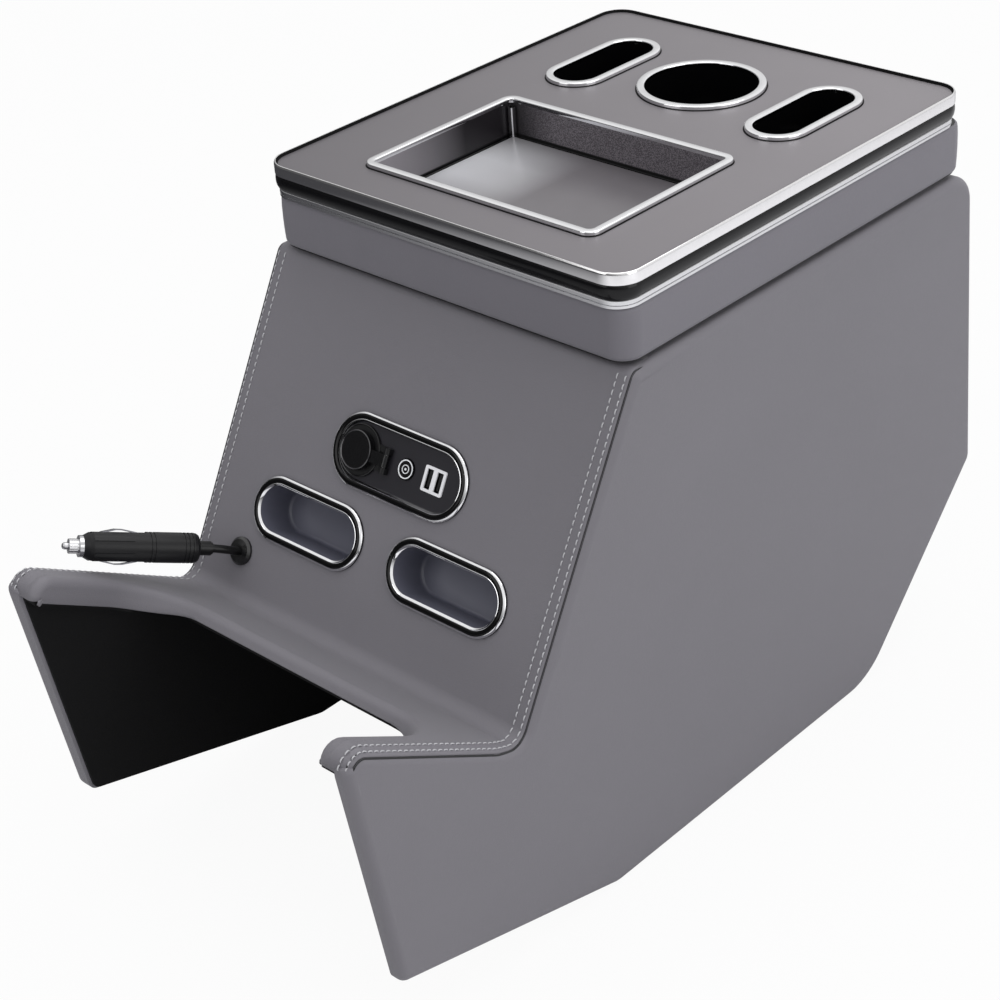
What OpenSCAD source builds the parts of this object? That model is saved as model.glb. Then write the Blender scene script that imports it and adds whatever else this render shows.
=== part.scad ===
// Car centre armrest: a floor-standing storage box with a hinged lid.
// The lid carries a tray, a cup holder and two slots. The sloped face carries
// two pockets, a power panel and a tethered 12 V plug. Two wings run forward.
// Lengths are in millimetres, +Z is up, the sloped face looks along -Y.
// The origin is the middle of the flat underside.

/* [Body] */
// Overall width across the side covers
body_w = 300; // [285:1:320]
// Length of the lid, front to back
deck_l = 352; // [340:1:370]
// Height of the body under the lid
body_top = 362.5; // [350:0.5:380]
// Length of the sloped face from its top edge to the fold
face_l = 232; // [226:1:238]
// Lean of the sloped face from the vertical, degrees
face_lean = 29.2; // [27:0.1:31]
// Length of the rising shelf and wings from the fold
shelf_l = 163.5; // [155:0.5:172]
// Rise of the shelf above the horizontal, degrees
shelf_rise = 30.6; // [28:0.1:33]
// Height of the lower tip of each front leg
leg_tip_z = 54; // [45:1:70]
// Height at which the back starts to slope under
back_break_z = 132; // [120:1:145]

/* [Panels] */
// Thickness of the side boards
board_t = 9; // [8:0.5:11]
// Thickness of the padded leather skin
leather_t = 2; // [1.5:0.1:2.5]
// Thickness of the moulded shell behind the face
shell_t = 6; // [5:0.5:7]
// Thickness of the shelf, skin included
shelf_t = 10; // [9:0.5:12]
// Depth of each wing, skin included
wing_t = 17; // [14:0.5:19]
// Width of each wing, side board included
wing_w = 23; // [20:1:28]
// Corner radius of the notch between the wings
notch_r = 38; // [30:1:45]
// Distance from the fold to the bottom of the notch
notch_y = 49.5; // [45:0.5:55]

/* [Lid] */
// Height of the polished upper frame
upper_frame_h = 7; // [6:0.5:9]
// Height of the black band
band_h = 10; // [8:0.5:12]
// Height of the lower frame
lower_frame_h = 5.5; // [4.5:0.5:7]
// Height of the covered lid box
lid_box_h = 35; // [30:1:38]
// Open gap between lid and body
lid_gap = 3; // [2.5:0.1:4]
// Corner radius of the deck
deck_r = 18; // [15:1:22]

/* [Deck openings] */
// Width of the chrome rims
rim_w = 5.5; // [4.5:0.5:6]
// Height of the chrome rims above the deck plate
rim_h = 3; // [2:0.5:4]
// Tray width over its rim
tray_w = 193; // [180:1:200]
// Tray length over its rim
tray_l = 141; // [130:1:145]
// Depth of the tray below the deck plate
tray_depth = 24; // [20:1:28]
// Cup holder diameter inside its rim
cup_d = 76.5; // [72:0.5:80]
// Depth of the cup holder below the deck plate
cup_depth = 48; // [40:1:50]
// Length of a slot over its rim
slot_l = 99; // [90:1:105]
// Width of a slot over its rim
slot_w = 44; // [40:1:46]
// Depth of a slot below the deck plate
slot_depth = 30; // [25:1:35]

/* [Face fittings] */
// Length of the power panel over its chrome edge
panel_l = 116; // [112:1:120]
// Height of the power panel over its chrome edge
panel_h = 49.6; // [48:0.2:52]
// Length of a pocket over its chrome edge
pocket_l = 99.6; // [94:0.2:104]
// Height of a pocket over its chrome edge
pocket_h = 43.8; // [42:0.2:46]
// Depth of a pocket behind the face
pocket_depth = 26; // [22:1:30]
// Bore of the 12 V socket
socket_bore = 21; // [20.8:0.1:21.4]
// Diameter of the socket cap
cap_d = 26; // [25:0.5:27]
// Diameter of the ring switch button
button_d = 13.4; // [12.5:0.1:14]
// Inward travel of the ring switch button
button_travel = 1.5; // [1:0.1:2]

/* [Plug and cord] */
// Diameter of the cord
cord_d = 5.6; // [5:0.1:6]
// Diameter of the plug body
plug_d = 20.6; // [20:0.1:20.8]
// Length of the plug body
plug_l = 76; // [72:1:80]

/* [Piece] */
// Piece to draw, or all of them

/* [Hidden] */

$fn = 64;
fit = 0.15;
run_fit = 0.05;
half_w = body_w / 2;
inner_x = half_w - board_t - leather_t;
corner_steps = 5;

// Side outline: corners as [along, height, radius], clockwise from the top front.
face_top_u = 8;
fold_u = face_top_u - face_l * sin(face_lean);
fold_z = body_top - face_l * cos(face_lean);
nose_u = fold_u - shelf_l * cos(shelf_rise);
nose_z = fold_z + shelf_l * sin(shelf_rise);
back_top_u = deck_l + 11;
back_break_u = deck_l + 28;
foot_back_u = deck_l - 95;
foot_front_u = -25;
leg_setback = 27;
leg_tip_u = nose_u + leg_setback;
outline = [
    [face_top_u, body_top, 8],
    [back_top_u, body_top, 22],
    [back_break_u, back_break_z, 10],
    [foot_back_u, 0, 55],
    [foot_front_u, 0, 28],
    [leg_tip_u, leg_tip_z, 8],
    [nose_u, nose_z, 12],
    [fold_u, fold_z, 10]
];
// The flat underside of the boards carries no skin.
board_insets = [for (i = [0 : len(outline) - 1]) i == 3 ? 0 : leather_t];
cover_edge_r = 5;
cover_angles = [0, 30, 60, 90];

// Lid levels and sizes
lid_bottom_z = body_top + lid_gap;
shoulder_z = lid_bottom_z + lid_box_h;
band_z = shoulder_z + lower_frame_h;
upper_z = band_z + band_h;
deck_top_z = upper_z + upper_frame_h;
plate_t = 3;
rim_edge = 0.9;
plate_drop = 0.8;
plate_top_z = deck_top_z - plate_drop;
deck_edge_w = 2.5;
ledge_w = 10;
lid_side_inset = 1;
lid_front_u = 3.5;
lid_back_u = deck_l + 4;
lid_wall = 6;
lid_floor = 3;
lower_inset = 1.8;
band_top_inset = 0.4;
band_low_inset = 1.5;
bin_t = 1.5;
frame_edge = 1.2;
groove_d = 0.6;
lid_mid_u = (lid_front_u + lid_back_u) / 2;
lid_box_w = body_w - 2 * (lid_side_inset + leather_t);
lid_box_l = lid_back_u - lid_front_u - 2 * leather_t;
lid_box_r = 13;

// Deck openings, seen from above
tray_front_u = 34;
tray_corner_r = 9;
cup_u = deck_l - 90.5;
slot_u = deck_l - 93.5;
slot_side = 65;
slot_x = half_w - slot_side;
deck_shift = 2.5;
cup_x = 1;
tray_mid_u = tray_front_u + tray_l / 2;

// Storage tub and boards
top_z = body_top - leather_t;
floor_t = 8;
floor_z = fold_z + 4;
tub_front_u = 32;
tub_back_u = deck_l - 17;
tub_t = 2.5;
tub_side_gap = 4;
tub_flange = 10;
tub_r = 14;

// Face fittings, measured up the face from the fold
panel_share = 0.5453;
pocket_share = 0.2953;
pocket_x_share = 0.41;
panel_v = panel_share * face_l;
pocket_v = pocket_share * face_l;
pocket_x = pocket_x_share * half_w;
edge_ring_w = 2;
bezel_w = 2.8;
inner_ring_w = 1.7;
pocket_in_l = pocket_l - 2 * (edge_ring_w + bezel_w);
pocket_in_h = pocket_h - 2 * (edge_ring_w + bezel_w);
panel_in_l = panel_l - 2 * (edge_ring_w + bezel_w);
panel_in_h = panel_h - 2 * (edge_ring_w + bezel_w);
flange_t = 1.2;
bezel_h = 3;
ring_top = 2.6;
ring_lip = 0.3;
shell_back = leather_t + shell_t;
shell_lip = 1.5;
collar_t = 2;
plate_face = 0.5;
faceplate_t = 2;
housing_depth = 30;
socket_x = -34;
socket_flange_d = 34;
socket_barrel_d = 26;
socket_depth = 48;
socket_flange_t = 1.5;
cap_gap = 0.2;
cap_t = 4;
cap_spigot = 3.6;
cap_axis_x = -10;
cap_axis_h = 3.6;
cap_pin_d = 2;
cap_knuckle_d = 4.4;
cap_knuckle_l = 8;
cap_lug_l = 4;
button_x = 6.2;
button_gap = 0.3;
button_lip = 1.4;
button_guide = 7.5;
usb_x = 30.2;
usb_w = 17.6;
usb_h = 16.4;
usb_pitch = 8.4;
usb_port_w = 5;
usb_port_h = 12.8;
usb_port_depth = 11;

// Grommet, cord and plug, in the frame of the face
grommet_side = 38;
grommet_share = 0.138;
grommet_x = grommet_side - half_w;
grommet_v = grommet_share * face_l;
grommet_d = 19;
grommet_neck_d = 13;
cord_sides = 10;
cord_route = [[0, 0, -8], [0, 0, -2], [0, 0, 4], [0, 0.1, 9], [-0.6, 0.15, 13.6],
    [-2.2, -0.05, 18.4], [-4.5, -0.6, 23], [-7, -1.55, 28]];
plug_start = [-4.5, -0.6, 23];
plug_dir = [-2.5, -0.95, 5];
plug_roll = -95;
relief_l = 9.5;
relief_d = 9.6;
collar_disc_l = 2.6;
collar_disc_d = 14.2;
collar_l = 9;
collar_d = 9.8;
tip_d = 4.6;
tip_out = 4.2;
tip_travel = 2.5;
spring_start = 46;
spring_l = 33;
spring_w = 6;
spring_t = 0.8;
spring_slot_w = 7;
spring_pivot_r = 7.2;
plug_front = relief_l + plug_l;

// Lid hinge at the top of the back
hinge_u = deck_l + 5;
hinge_z = deck_top_z - 6.3;
barrel_d = 8;
hinge_pin_d = 4;
barrel_l = 40;
centre_knuckle_l = 18;
knuckle_gap = 0.3;
bracket_w = 46;
bracket_t = 3;
leaf_w = 60;
leaf_t = 2.5;
bracket_low_z = body_top - 78;
bracket_bend_z = body_top - 12;
bracket_screw_x = 14;
bracket_screw_d = 7;
leaf_screw_x = 22;
leaf_screw_d = 6;

origin_shift = -(max([for (p = side_points(0)) p[0]]) + min([for (p = side_points(0)) p[0]])) / 2;

function unit(v) = v / norm(v);
function cross2(a, b) = a[0] * b[1] - a[1] * b[0];
function turn(v, q) = [v[0] * cos(q) - v[1] * sin(q), v[0] * sin(q) + v[1] * cos(q)];
function at(list, i) = list[(i + len(list)) % len(list)];
function xy(p) = [p[0], p[1]];

// Arc of radius r that rounds the corner p between the neighbours a and b
function corner_arc(p, a, b, r) =
    let (ua = unit(a - p), ub = unit(b - p), half = acos(ua * ub) / 2)
    let (c = p + unit(ua + ub) * r / sin(half))
    let (s0 = p + ua * r / tan(half) - c, s1 = p + ub * r / tan(half) - c)
    let (sweep = 180 - 2 * half, side = sign(cross2(s0, s1)))
    [for (i = [0 : corner_steps]) c + turn(s0, side * sweep * i / corner_steps)];

// Corner i of the outline after each edge has moved inwards by its inset
function moved_corner(i, insets) =
    let (p = xy(at(outline, i)), a = xy(at(outline, i - 1)), b = xy(at(outline, i + 1)))
    let (da = unit(p - a), db = unit(b - p))
    let (pa = p + [da[1], -da[0]] * at(insets, i - 1), pb = p + [db[1], -db[0]] * at(insets, i))
    pa + da * cross2(pb - pa, db) / cross2(da, db);

function bend_sign(i) =
    let (p = xy(at(outline, i)), a = xy(at(outline, i - 1)), b = xy(at(outline, i + 1)))
    cross2(p - a, b - p) < 0 ? 1 : -1;

// Rounded outline moved inwards by one inset for each edge
function inset_points(insets) =
    let (n = len(outline))
    let (q = [for (i = [0 : n - 1]) moved_corner(i, insets)])
    [for (i = [0 : n - 1]) each corner_arc(q[i], at(q, i - 1), at(q, i + 1),
        max(0.8, outline[i][2] - bend_sign(i) * max(insets[i], at(insets, i - 1))))];

function side_points(d) = inset_points([for (i = [0 : len(outline) - 1]) d]);

// Where the back, seen from the side, stands at height z
function back_u(z) = back_top_u + (back_break_u - back_top_u) * (body_top - z) / (body_top - back_break_z);
function face_u(z) = fold_u + (z - fold_z) * tan(face_lean);
function face_inner_u(z) = face_u(z) + shell_back / cos(face_lean);
function back_inner_u(z) = back_u(z) - board_t - leather_t;

// Extrudes a side view along X
module along_x(x0, x1) {
    translate([x0, origin_shift, 0])
        rotate([90, 0, 90])
            linear_extrude(x1 - x0)
                children();
}

// Frame of the sloped face: x across, y up the slope, z outwards
module on_face() {
    translate([0, origin_shift + fold_u, fold_z])
        rotate([90 - face_lean, 0, 0])
            children();
}

// Frame of the shelf: x across, y towards the fold, z outwards
module on_shelf() {
    translate([0, origin_shift + fold_u, fold_z])
        rotate([-shelf_rise, 0, 0])
            children();
}

// Frame of the deck: x across, y from the front edge, z up
module on_deck() {
    translate([0, origin_shift, 0])
        children();
}

module on_plug() {
    on_face()
        translate([grommet_x, grommet_v, 0])
            translate(plug_start)
                rotate([0, acos(unit(plug_dir)[2]), atan2(plug_dir[1], plug_dir[0])])
                    rotate([0, 0, plug_roll])
                        children();
}

// Rectangle with round corners, centred
module round_rect(w, l, r) {
    square([w - 2 * r, l], center = true);
    square([w, l - 2 * r], center = true);
    for (x = [-1, 1], y = [-1, 1])
        translate([x * (w / 2 - r), y * (l / 2 - r)])
            circle(r);
}

// Bar with half-round ends, lying along x, centred
module stadium(l, h) {
    square([l - h, h], center = true);
    for (x = [-1, 1])
        translate([x * (l - h) / 2, 0])
            circle(h / 2);
}

module stadium_block(l, h, z0, z1) {
    translate([0, 0, z0])
        linear_extrude(z1 - z0)
            stadium(l, h);
}

// Carries a section, drawn as [outward offset, height], round a rectangle with round corners
module loop_sweep(w, l, r, section) {
    pts = [for (p = section) [r + p[0], p[1]]];
    for (x = [-1, 1], y = [-1, 1])
        translate([x * (w / 2 - r), y * (l / 2 - r), 0])
            rotate([0, 0, x > 0 ? (y > 0 ? 0 : -90) : (y > 0 ? 90 : 180)])
                rotate_extrude(angle = 90)
                    polygon(pts);
    for (q = [[0, w, l], [90, l, w]])
        if (q[1] > 2 * r + 0.01)
            for (half = [0, 180])
                rotate([0, 0, q[0] + half])
                    translate([0, q[2] / 2 - r, 0])
                        rotate([90, 0, 90])
                            linear_extrude(q[1] - 2 * r, center = true)
                                polygon(pts);
}

function rim_section() = [[0, 0], [rim_w, 0], [rim_w, rim_h - rim_edge], [rim_w - rim_edge * 0.3, rim_h - rim_edge * 0.3],
    [rim_w - rim_edge, rim_h], [rim_edge, rim_h], [rim_edge * 0.3, rim_h - rim_edge * 0.3], [0, rim_h - rim_edge]];

module disc(d, z0, z1) {
    translate([0, 0, z0])
        cylinder(d = d, h = z1 - z0);
}

// One side board, drawn on the right
module side_board() {
    along_x(inner_x, half_w - leather_t)
        polygon(inset_points(board_insets));
}

// One side skin with a rounded outer edge, drawn on the right
module side_cover() {
    turns = [for (a = cover_angles) cover_edge_r * [1 - cos(a), 1 - sin(a)]];
    rings = concat([side_points(0)], [for (t = turns) side_points(t[0])]);
    levels = concat([inner_x], [for (t = turns) half_w - t[1]]);
    m = len(rings[0]);
    last = len(rings) - 1;
    pts = [for (k = [0 : last], p = rings[k]) [levels[k], p[0] + origin_shift, p[1]]];
    difference() {
        polyhedron(pts, concat(
            [for (k = [0 : last - 1], i = [0 : m - 1])
                [k * m + i, k * m + (i + 1) % m, (k + 1) * m + (i + 1) % m, (k + 1) * m + i]],
            [[for (i = [m - 1 : -1 : 0]) i]],
            [[for (i = [0 : m - 1]) last * m + i]]));
        along_x(inner_x - 1, half_w - leather_t)
            polygon(inset_points([for (v = board_insets) v == 0 ? -1 : v]));
    }
}

// Notch between the wings, in the frame of the shelf
module notch(grow, z0, z1) {
    w = half_w - wing_w + grow;
    r = notch_r + grow;
    start = notch_y - grow;
    far = shelf_l + 60;
    translate([0, 0, z0])
        linear_extrude(z1 - z0) {
            translate([-w, -far])
                square([2 * w, far - start - r]);
            translate([r - w, -far])
                square([2 * (w - r), far - start]);
            for (x = [-1, 1])
                translate([x * (w - r), -start - r])
                    circle(r);
        }
}

// Bent plate of face, shelf and wings between the side boards
module front_solid(skin, face_depth, shelf_depth, wing_depth, grow) {
    difference() {
        intersection() {
            along_x(-inner_x, inner_x)
                polygon(side_points(skin));
            union() {
                on_face()
                    translate([-half_w, -shelf_depth, -face_depth])
                        cube([body_w, face_l + 40, face_depth + 20]);
                on_shelf()
                    translate([-half_w, -shelf_l - 40, -shelf_depth])
                        cube([body_w, shelf_l + 40, shelf_depth + 20]);
                on_shelf()
                    for (x = [-half_w, half_w - wing_w - grow])
                        translate([x, -shelf_l - 40, -wing_depth])
                            cube([wing_w + grow, shelf_l + 40 - notch_y - notch_r / 2, wing_depth]);
            }
        }
        on_shelf()
            notch(grow, -60, 40);
    }
}

module face_holes(grow) {
    on_face() {
        translate([0, panel_v, 0])
            stadium_block(panel_l - 2 * edge_ring_w + grow, panel_h - 2 * edge_ring_w + grow, -40, 10);
        for (x = [-1, 1])
            translate([x * pocket_x, pocket_v, 0])
                stadium_block(pocket_l - 2 * edge_ring_w + grow, pocket_h - 2 * edge_ring_w + grow, -40, 10);
        translate([grommet_x, grommet_v, 0])
            disc(grommet_neck_d + grow, -40, 10);
    }
}

module left_side_board() {
    color("#1d1d1f")
        mirror([1, 0, 0])
            side_board();
}

module right_side_board() {
    color("#1d1d1f")
        side_board();
}

module left_side_cover() {
    color("#76767a")
        mirror([1, 0, 0])
            side_cover();
}

module right_side_cover() {
    color("#76767a")
        side_cover();
}

module front_shell() {
    color("#1d1d1f")
        difference() {
            front_solid(leather_t, shell_back, shelf_t + shell_lip, wing_t + shell_lip, leather_t);
            face_holes(2 * fit);
        }
}

module front_cover() {
    color("#76767a")
        difference() {
            union() {
                front_solid(0, shell_back, shelf_t, wing_t, 0);
                intersection() {
                    along_x(-inner_x, inner_x)
                        polygon(side_points(0));
                    on_deck()
                        translate([-inner_x, face_top_u - 20, top_z])
                            cube([2 * inner_x, tub_front_u - tub_flange + 20 - face_top_u, leather_t]);
                }
            }
            along_x(-half_w, half_w)
                polygon([[face_inner_u(top_z) - leather_t, top_z], [tub_front_u, top_z],
                    [tub_front_u, fold_z - 20], [face_inner_u(fold_z - 20) - leather_t, fold_z - 20]]);
            front_solid(leather_t, shell_back + 1, shelf_t + 1, wing_t + 1, leather_t);
            face_holes(2 * fit);
        }
}

module rear_solid(skin, depth) {
    intersection() {
        along_x(-inner_x, inner_x)
            polygon(side_points(skin));
        along_x(-inner_x, inner_x)
            polygon([[back_top_u + 1, body_top + 1], [back_break_u + 40, back_break_z],
                [foot_back_u + 40, -1], [foot_back_u - depth - 2, -1],
                [back_break_u - depth, back_break_z + depth / 3],
                [back_top_u - depth, body_top + 1]]);
    }
}

module rear_board() {
    color("#1d1d1f")
        difference() {
            rear_solid(leather_t, board_t + leather_t);
            along_x(-half_w, half_w)
                polygon([[back_top_u - 60, top_z - board_t], [back_top_u + 30, top_z - board_t],
                    [back_top_u + 30, body_top + 1], [back_top_u - 60, body_top + 1]]);
        }
}

module rear_cover() {
    color("#76767a")
        difference() {
            union() {
                rear_solid(0, board_t + leather_t);
                intersection() {
                    along_x(-inner_x, inner_x)
                        polygon(side_points(0));
                    on_deck()
                        translate([-inner_x, tub_back_u + tub_flange, top_z - board_t])
                            cube([2 * inner_x, 60, leather_t + board_t]);
                }
            }
            along_x(-half_w, half_w)
                polygon(side_points(leather_t));
        }
}

module floor_board() {
    color("#26262a")
        along_x(-inner_x, inner_x)
            polygon([[face_inner_u(floor_z), floor_z], [back_inner_u(floor_z), floor_z],
                [back_inner_u(floor_z + floor_t), floor_z + floor_t],
                [face_inner_u(floor_z + floor_t), floor_z + floor_t]]);
}

module top_frame() {
    color("#26262a")
        difference() {
            intersection() {
                along_x(-inner_x, inner_x)
                    polygon(side_points(leather_t));
                along_x(-inner_x, inner_x)
                    polygon([[face_inner_u(top_z), top_z], [back_top_u + 20, top_z],
                        [back_top_u + 20, top_z - board_t], [face_inner_u(top_z - board_t), top_z - board_t]]);
            }
            on_deck()
                translate([0, (tub_front_u + tub_back_u) / 2, top_z - board_t - 1])
                    linear_extrude(board_t + 2)
                        round_rect(2 * (inner_x - tub_side_gap) + 2 * fit, tub_back_u - tub_front_u + 2 * fit, tub_r);
        }
}

module storage_tub() {
    w = 2 * (inner_x - tub_side_gap);
    l = tub_back_u - tub_front_u;
    color("#202024")
        on_deck()
            translate([0, (tub_front_u + tub_back_u) / 2, 0])
                difference() {
                    union() {
                        translate([0, 0, floor_z + floor_t])
                            linear_extrude(top_z - floor_z - floor_t)
                                round_rect(w, l, tub_r);
                        translate([0, 0, top_z])
                            linear_extrude(leather_t)
                                round_rect(2 * inner_x, l + 2 * tub_flange, tub_r);
                    }
                    translate([0, 0, floor_z + floor_t + tub_t])
                        linear_extrude(body_top - floor_z)
                            round_rect(w - 2 * tub_t, l - 2 * tub_t, tub_r - tub_t);
                }
}

// Pocket pieces, drawn about the middle of a pocket
module at_pocket(side) {
    on_face()
        translate([side * pocket_x, pocket_v, 0])
            children();
}

module bezel(l, h) {
    e = edge_ring_w;
    b = edge_ring_w + bezel_w;
    loop_sweep(l, h, h / 2, [[0, 0], [0, flange_t], [-e, flange_t], [-e, ring_top], [-e - 0.25 * bezel_w, bezel_h],
        [0.25 * bezel_w - b, bezel_h], [-b, ring_top], [-b, -shell_back], [-e, -shell_back], [-e, 0]]);
}

// Chrome edge round a bezel, its face sloping outwards
module outer_ring(l, h) {
    loop_sweep(l, h, h / 2, [[0, flange_t], [0, flange_t + ring_lip], [-0.45 * edge_ring_w, 0.35 * flange_t + 0.65 * ring_top],
        [-edge_ring_w, ring_top], [-edge_ring_w, flange_t]]);
}

// Chrome edge inside a bezel, its face sloping inwards from height ring_top to z0
module inner_ring(l, h, z0) {
    loop_sweep(l, h, h / 2, [[0, z0], [0, ring_top], [-0.55 * inner_ring_w, 0.35 * z0 + 0.65 * ring_top],
        [-inner_ring_w, z0 + ring_lip], [-inner_ring_w, z0]]);
}

module pocket_bin(side) {
    color("#45454a")
        at_pocket(side)
            difference() {
                union() {
                    stadium_block(pocket_in_l, pocket_in_h, -pocket_depth - bin_t, flange_t);
                    stadium_block(pocket_l, pocket_h, -shell_back - collar_t, -shell_back);
                }
                stadium_block(pocket_in_l - 2 * inner_ring_w, pocket_in_h - 2 * inner_ring_w,
                    -pocket_depth, flange_t + 1);
            }
}

module pocket_bezel(side) {
    color("#0c0c0e")
        at_pocket(side)
            bezel(pocket_l, pocket_h);
}

module pocket_outer_ring(side) {
    color("#d8d8dc")
        at_pocket(side)
            outer_ring(pocket_l, pocket_h);
}

module pocket_inner_ring(side) {
    color("#d8d8dc")
        at_pocket(side)
            inner_ring(pocket_in_l, pocket_in_h, flange_t);
}

module left_pocket_bin() {
    pocket_bin(-1);
}

module right_pocket_bin() {
    pocket_bin(1);
}

module left_pocket_bezel() {
    pocket_bezel(-1);
}

module right_pocket_bezel() {
    pocket_bezel(1);
}

module left_pocket_outer_ring() {
    pocket_outer_ring(-1);
}

module right_pocket_outer_ring() {
    pocket_outer_ring(1);
}

module left_pocket_inner_ring() {
    pocket_inner_ring(-1);
}

module right_pocket_inner_ring() {
    pocket_inner_ring(1);
}

module at_panel() {
    on_face()
        translate([0, panel_v, 0])
            children();
}

module power_bezel() {
    color("#0c0c0e")
        at_panel()
            bezel(panel_l, panel_h);
}

module power_outer_ring() {
    color("#d8d8dc")
        at_panel()
            outer_ring(panel_l, panel_h);
}

module power_inner_ring() {
    color("#d8d8dc")
        at_panel()
            inner_ring(panel_in_l, panel_in_h, plate_face);
}

module power_faceplate() {
    under = plate_face - faceplate_t;
    color("#343438")
        at_panel()
            difference() {
                union() {
                    stadium_block(panel_in_l, panel_in_h, under, plate_face);
                    translate([button_x, 0, 0])
                        disc(button_d + 5.6, under - button_guide - button_travel, under);
                }
                translate([socket_x, 0, 0])
                    disc(socket_barrel_d + 2 * fit, under - 1, plate_face + 1);
                translate([button_x, 0, 0]) {
                    disc(button_d + 2 * button_gap, under - 2 * button_guide - button_travel, plate_face + 1);
                    disc(button_d + 2 * button_lip + 2 * button_gap, under - 2 * button_guide - button_travel, under);
                }
                translate([usb_x, 0, under - 1])
                    linear_extrude(faceplate_t + 2)
                        square([usb_w - 2, usb_h - 2], center = true);
            }
}

module power_housing() {
    under = plate_face - faceplate_t;
    wall = 1.6;
    color("#1d1d1f")
        at_panel()
            difference() {
                union() {
                    stadium_block(panel_in_l, panel_in_h, -housing_depth, under);
                    stadium_block(panel_l, panel_h, -shell_back - collar_t, -shell_back);
                }
                stadium_block(panel_in_l - 2 * wall, panel_in_h - 2 * wall, wall - housing_depth, under + 1);
                translate([socket_x, 0, 0])
                    disc(socket_barrel_d + 2 * fit, -housing_depth - 1, 0);
            }
}

module socket_barrel() {
    top = plate_face + socket_flange_t;
    lug_in = cap_knuckle_l / 2 + knuckle_gap;
    color("#161618")
        at_panel()
            difference() {
                union() {
                    translate([socket_x, 0, 0]) {
                        disc(socket_flange_d, plate_face, top);
                        disc(socket_barrel_d, plate_face - socket_depth, top);
                    }
                    for (y = [-1, 1])
                        translate([cap_axis_x, y * (lug_in + cap_lug_l / 2), 0]) {
                            translate([0, cap_lug_l / 2, cap_axis_h])
                                rotate([90, 0, 0])
                                    cylinder(d = cap_knuckle_d, h = cap_lug_l);
                            translate([-cap_knuckle_d / 2, -cap_lug_l / 2, plate_face])
                                cube([cap_knuckle_d, cap_lug_l, cap_axis_h - plate_face]);
                            translate([-10, -cap_lug_l / 2, plate_face])
                                cube([10, cap_lug_l, socket_flange_t]);
                        }
                }
                translate([socket_x, 0, 0])
                    disc(socket_bore, plate_face - socket_depth + 2, top + 1);
                translate([socket_x, 0, 0])
                    disc(8, plate_face - socket_depth - 1, top);
                translate([cap_axis_x, 30, cap_axis_h])
                    rotate([90, 0, 0])
                        cylinder(d = cap_pin_d, h = 60);
            }
}

module socket_contact() {
    color("#c9b27a")
        at_panel()
            translate([socket_x, 0, 0]) {
                disc(8, plate_face - socket_depth, plate_face - socket_depth + 2);
                disc(11, plate_face - socket_depth + 2, plate_face - socket_depth + 3);
            }
}

module socket_cap() {
    under = plate_face + socket_flange_t + cap_gap;
    arm = socket_x + cap_d / 2 - 2;
    color("#1a1a1c")
        at_panel()
            difference() {
                union() {
                    translate([socket_x, 0, 0]) {
                        disc(cap_d, under, under + cap_t);
                        disc(socket_bore - 1, under - cap_spigot, under);
                    }
                    translate([arm, -cap_knuckle_l / 2, under])
                        cube([cap_axis_x - arm, cap_knuckle_l, cap_axis_h + cap_knuckle_d / 2 - under]);
                    translate([cap_axis_x, cap_knuckle_l / 2, cap_axis_h])
                        rotate([90, 0, 0])
                            cylinder(d = cap_knuckle_d, h = cap_knuckle_l);
                }
                translate([socket_x, 0, 0])
                    disc(socket_bore - 5, under - cap_spigot - 1, under);
                translate([cap_axis_x, cap_knuckle_l, cap_axis_h])
                    rotate([90, 0, 0])
                        cylinder(d = cap_pin_d + 2 * run_fit, h = 2 * cap_knuckle_l);
            }
}

module cap_hinge_pin() {
    l = cap_knuckle_l + 2 * (knuckle_gap + cap_lug_l);
    color("#8a8a8e")
        at_panel()
            translate([cap_axis_x, l / 2, cap_axis_h])
                rotate([90, 0, 0])
                    cylinder(d = cap_pin_d, h = l);
}

module ring_button() {
    under = plate_face - faceplate_t;
    color("#1a1a1c")
        at_panel()
            translate([button_x, 0, 0])
                difference() {
                    union() {
                        disc(button_d, under - 5, plate_face + 1.2);
                        disc(button_d + 2 * button_lip, under - 2, under - button_gap);
                    }
                    disc(button_d - 2.4, plate_face + 0.9, plate_face + 2);
                }
}

module usb_module() {
    under = plate_face - faceplate_t;
    w = usb_w - 2 - 2 * fit;
    h = usb_h - 2 - 2 * fit;
    tongue = [1.9, usb_port_h - 2, usb_port_depth - 1];
    color("#2c2c30")
        at_panel()
            translate([usb_x, 0, 0]) {
                difference() {
                    translate([0, 0, under - 16])
                        linear_extrude(16 + faceplate_t)
                            square([w, h], center = true);
                    for (x = [-1, 1])
                        translate([x * usb_pitch / 2, 0, plate_face - usb_port_depth])
                            linear_extrude(usb_port_depth + 1)
                                square([usb_port_w, usb_port_h], center = true);
                }
                for (x = [-1, 1])
                    translate([x * usb_pitch / 2 - usb_port_w / 2 + 0.8, -tongue[1] / 2, plate_face - usb_port_depth])
                        cube(tongue);
            }
}

module usb_frame() {
    color("#dcdcde")
        at_panel()
            translate([usb_x, 0, plate_face])
                linear_extrude(0.9)
                    difference() {
                        round_rect(usb_w, usb_h, 1.2);
                        for (x = [-1, 1])
                            translate([x * usb_pitch / 2, 0])
                                square([usb_port_w, usb_port_h], center = true);
                    }
}

module cord_grommet() {
    color("#141416")
        on_face()
            translate([grommet_x, grommet_v, 0])
                difference() {
                    union() {
                        rotate_extrude()
                            polygon([[0, 0], [grommet_d / 2, 0], [grommet_d / 2, 1.6],
                                [grommet_d / 2 - 1.6, 3], [cord_d / 2 + 1.6, 3.6], [0, 3.6]]);
                        disc(grommet_neck_d, -shell_back, 0);
                        disc(grommet_d - 2, -shell_back - collar_t, -shell_back);
                    }
                    disc(cord_d + 2 * fit, -shell_back - collar_t - 1, 10);
                }
}

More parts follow.
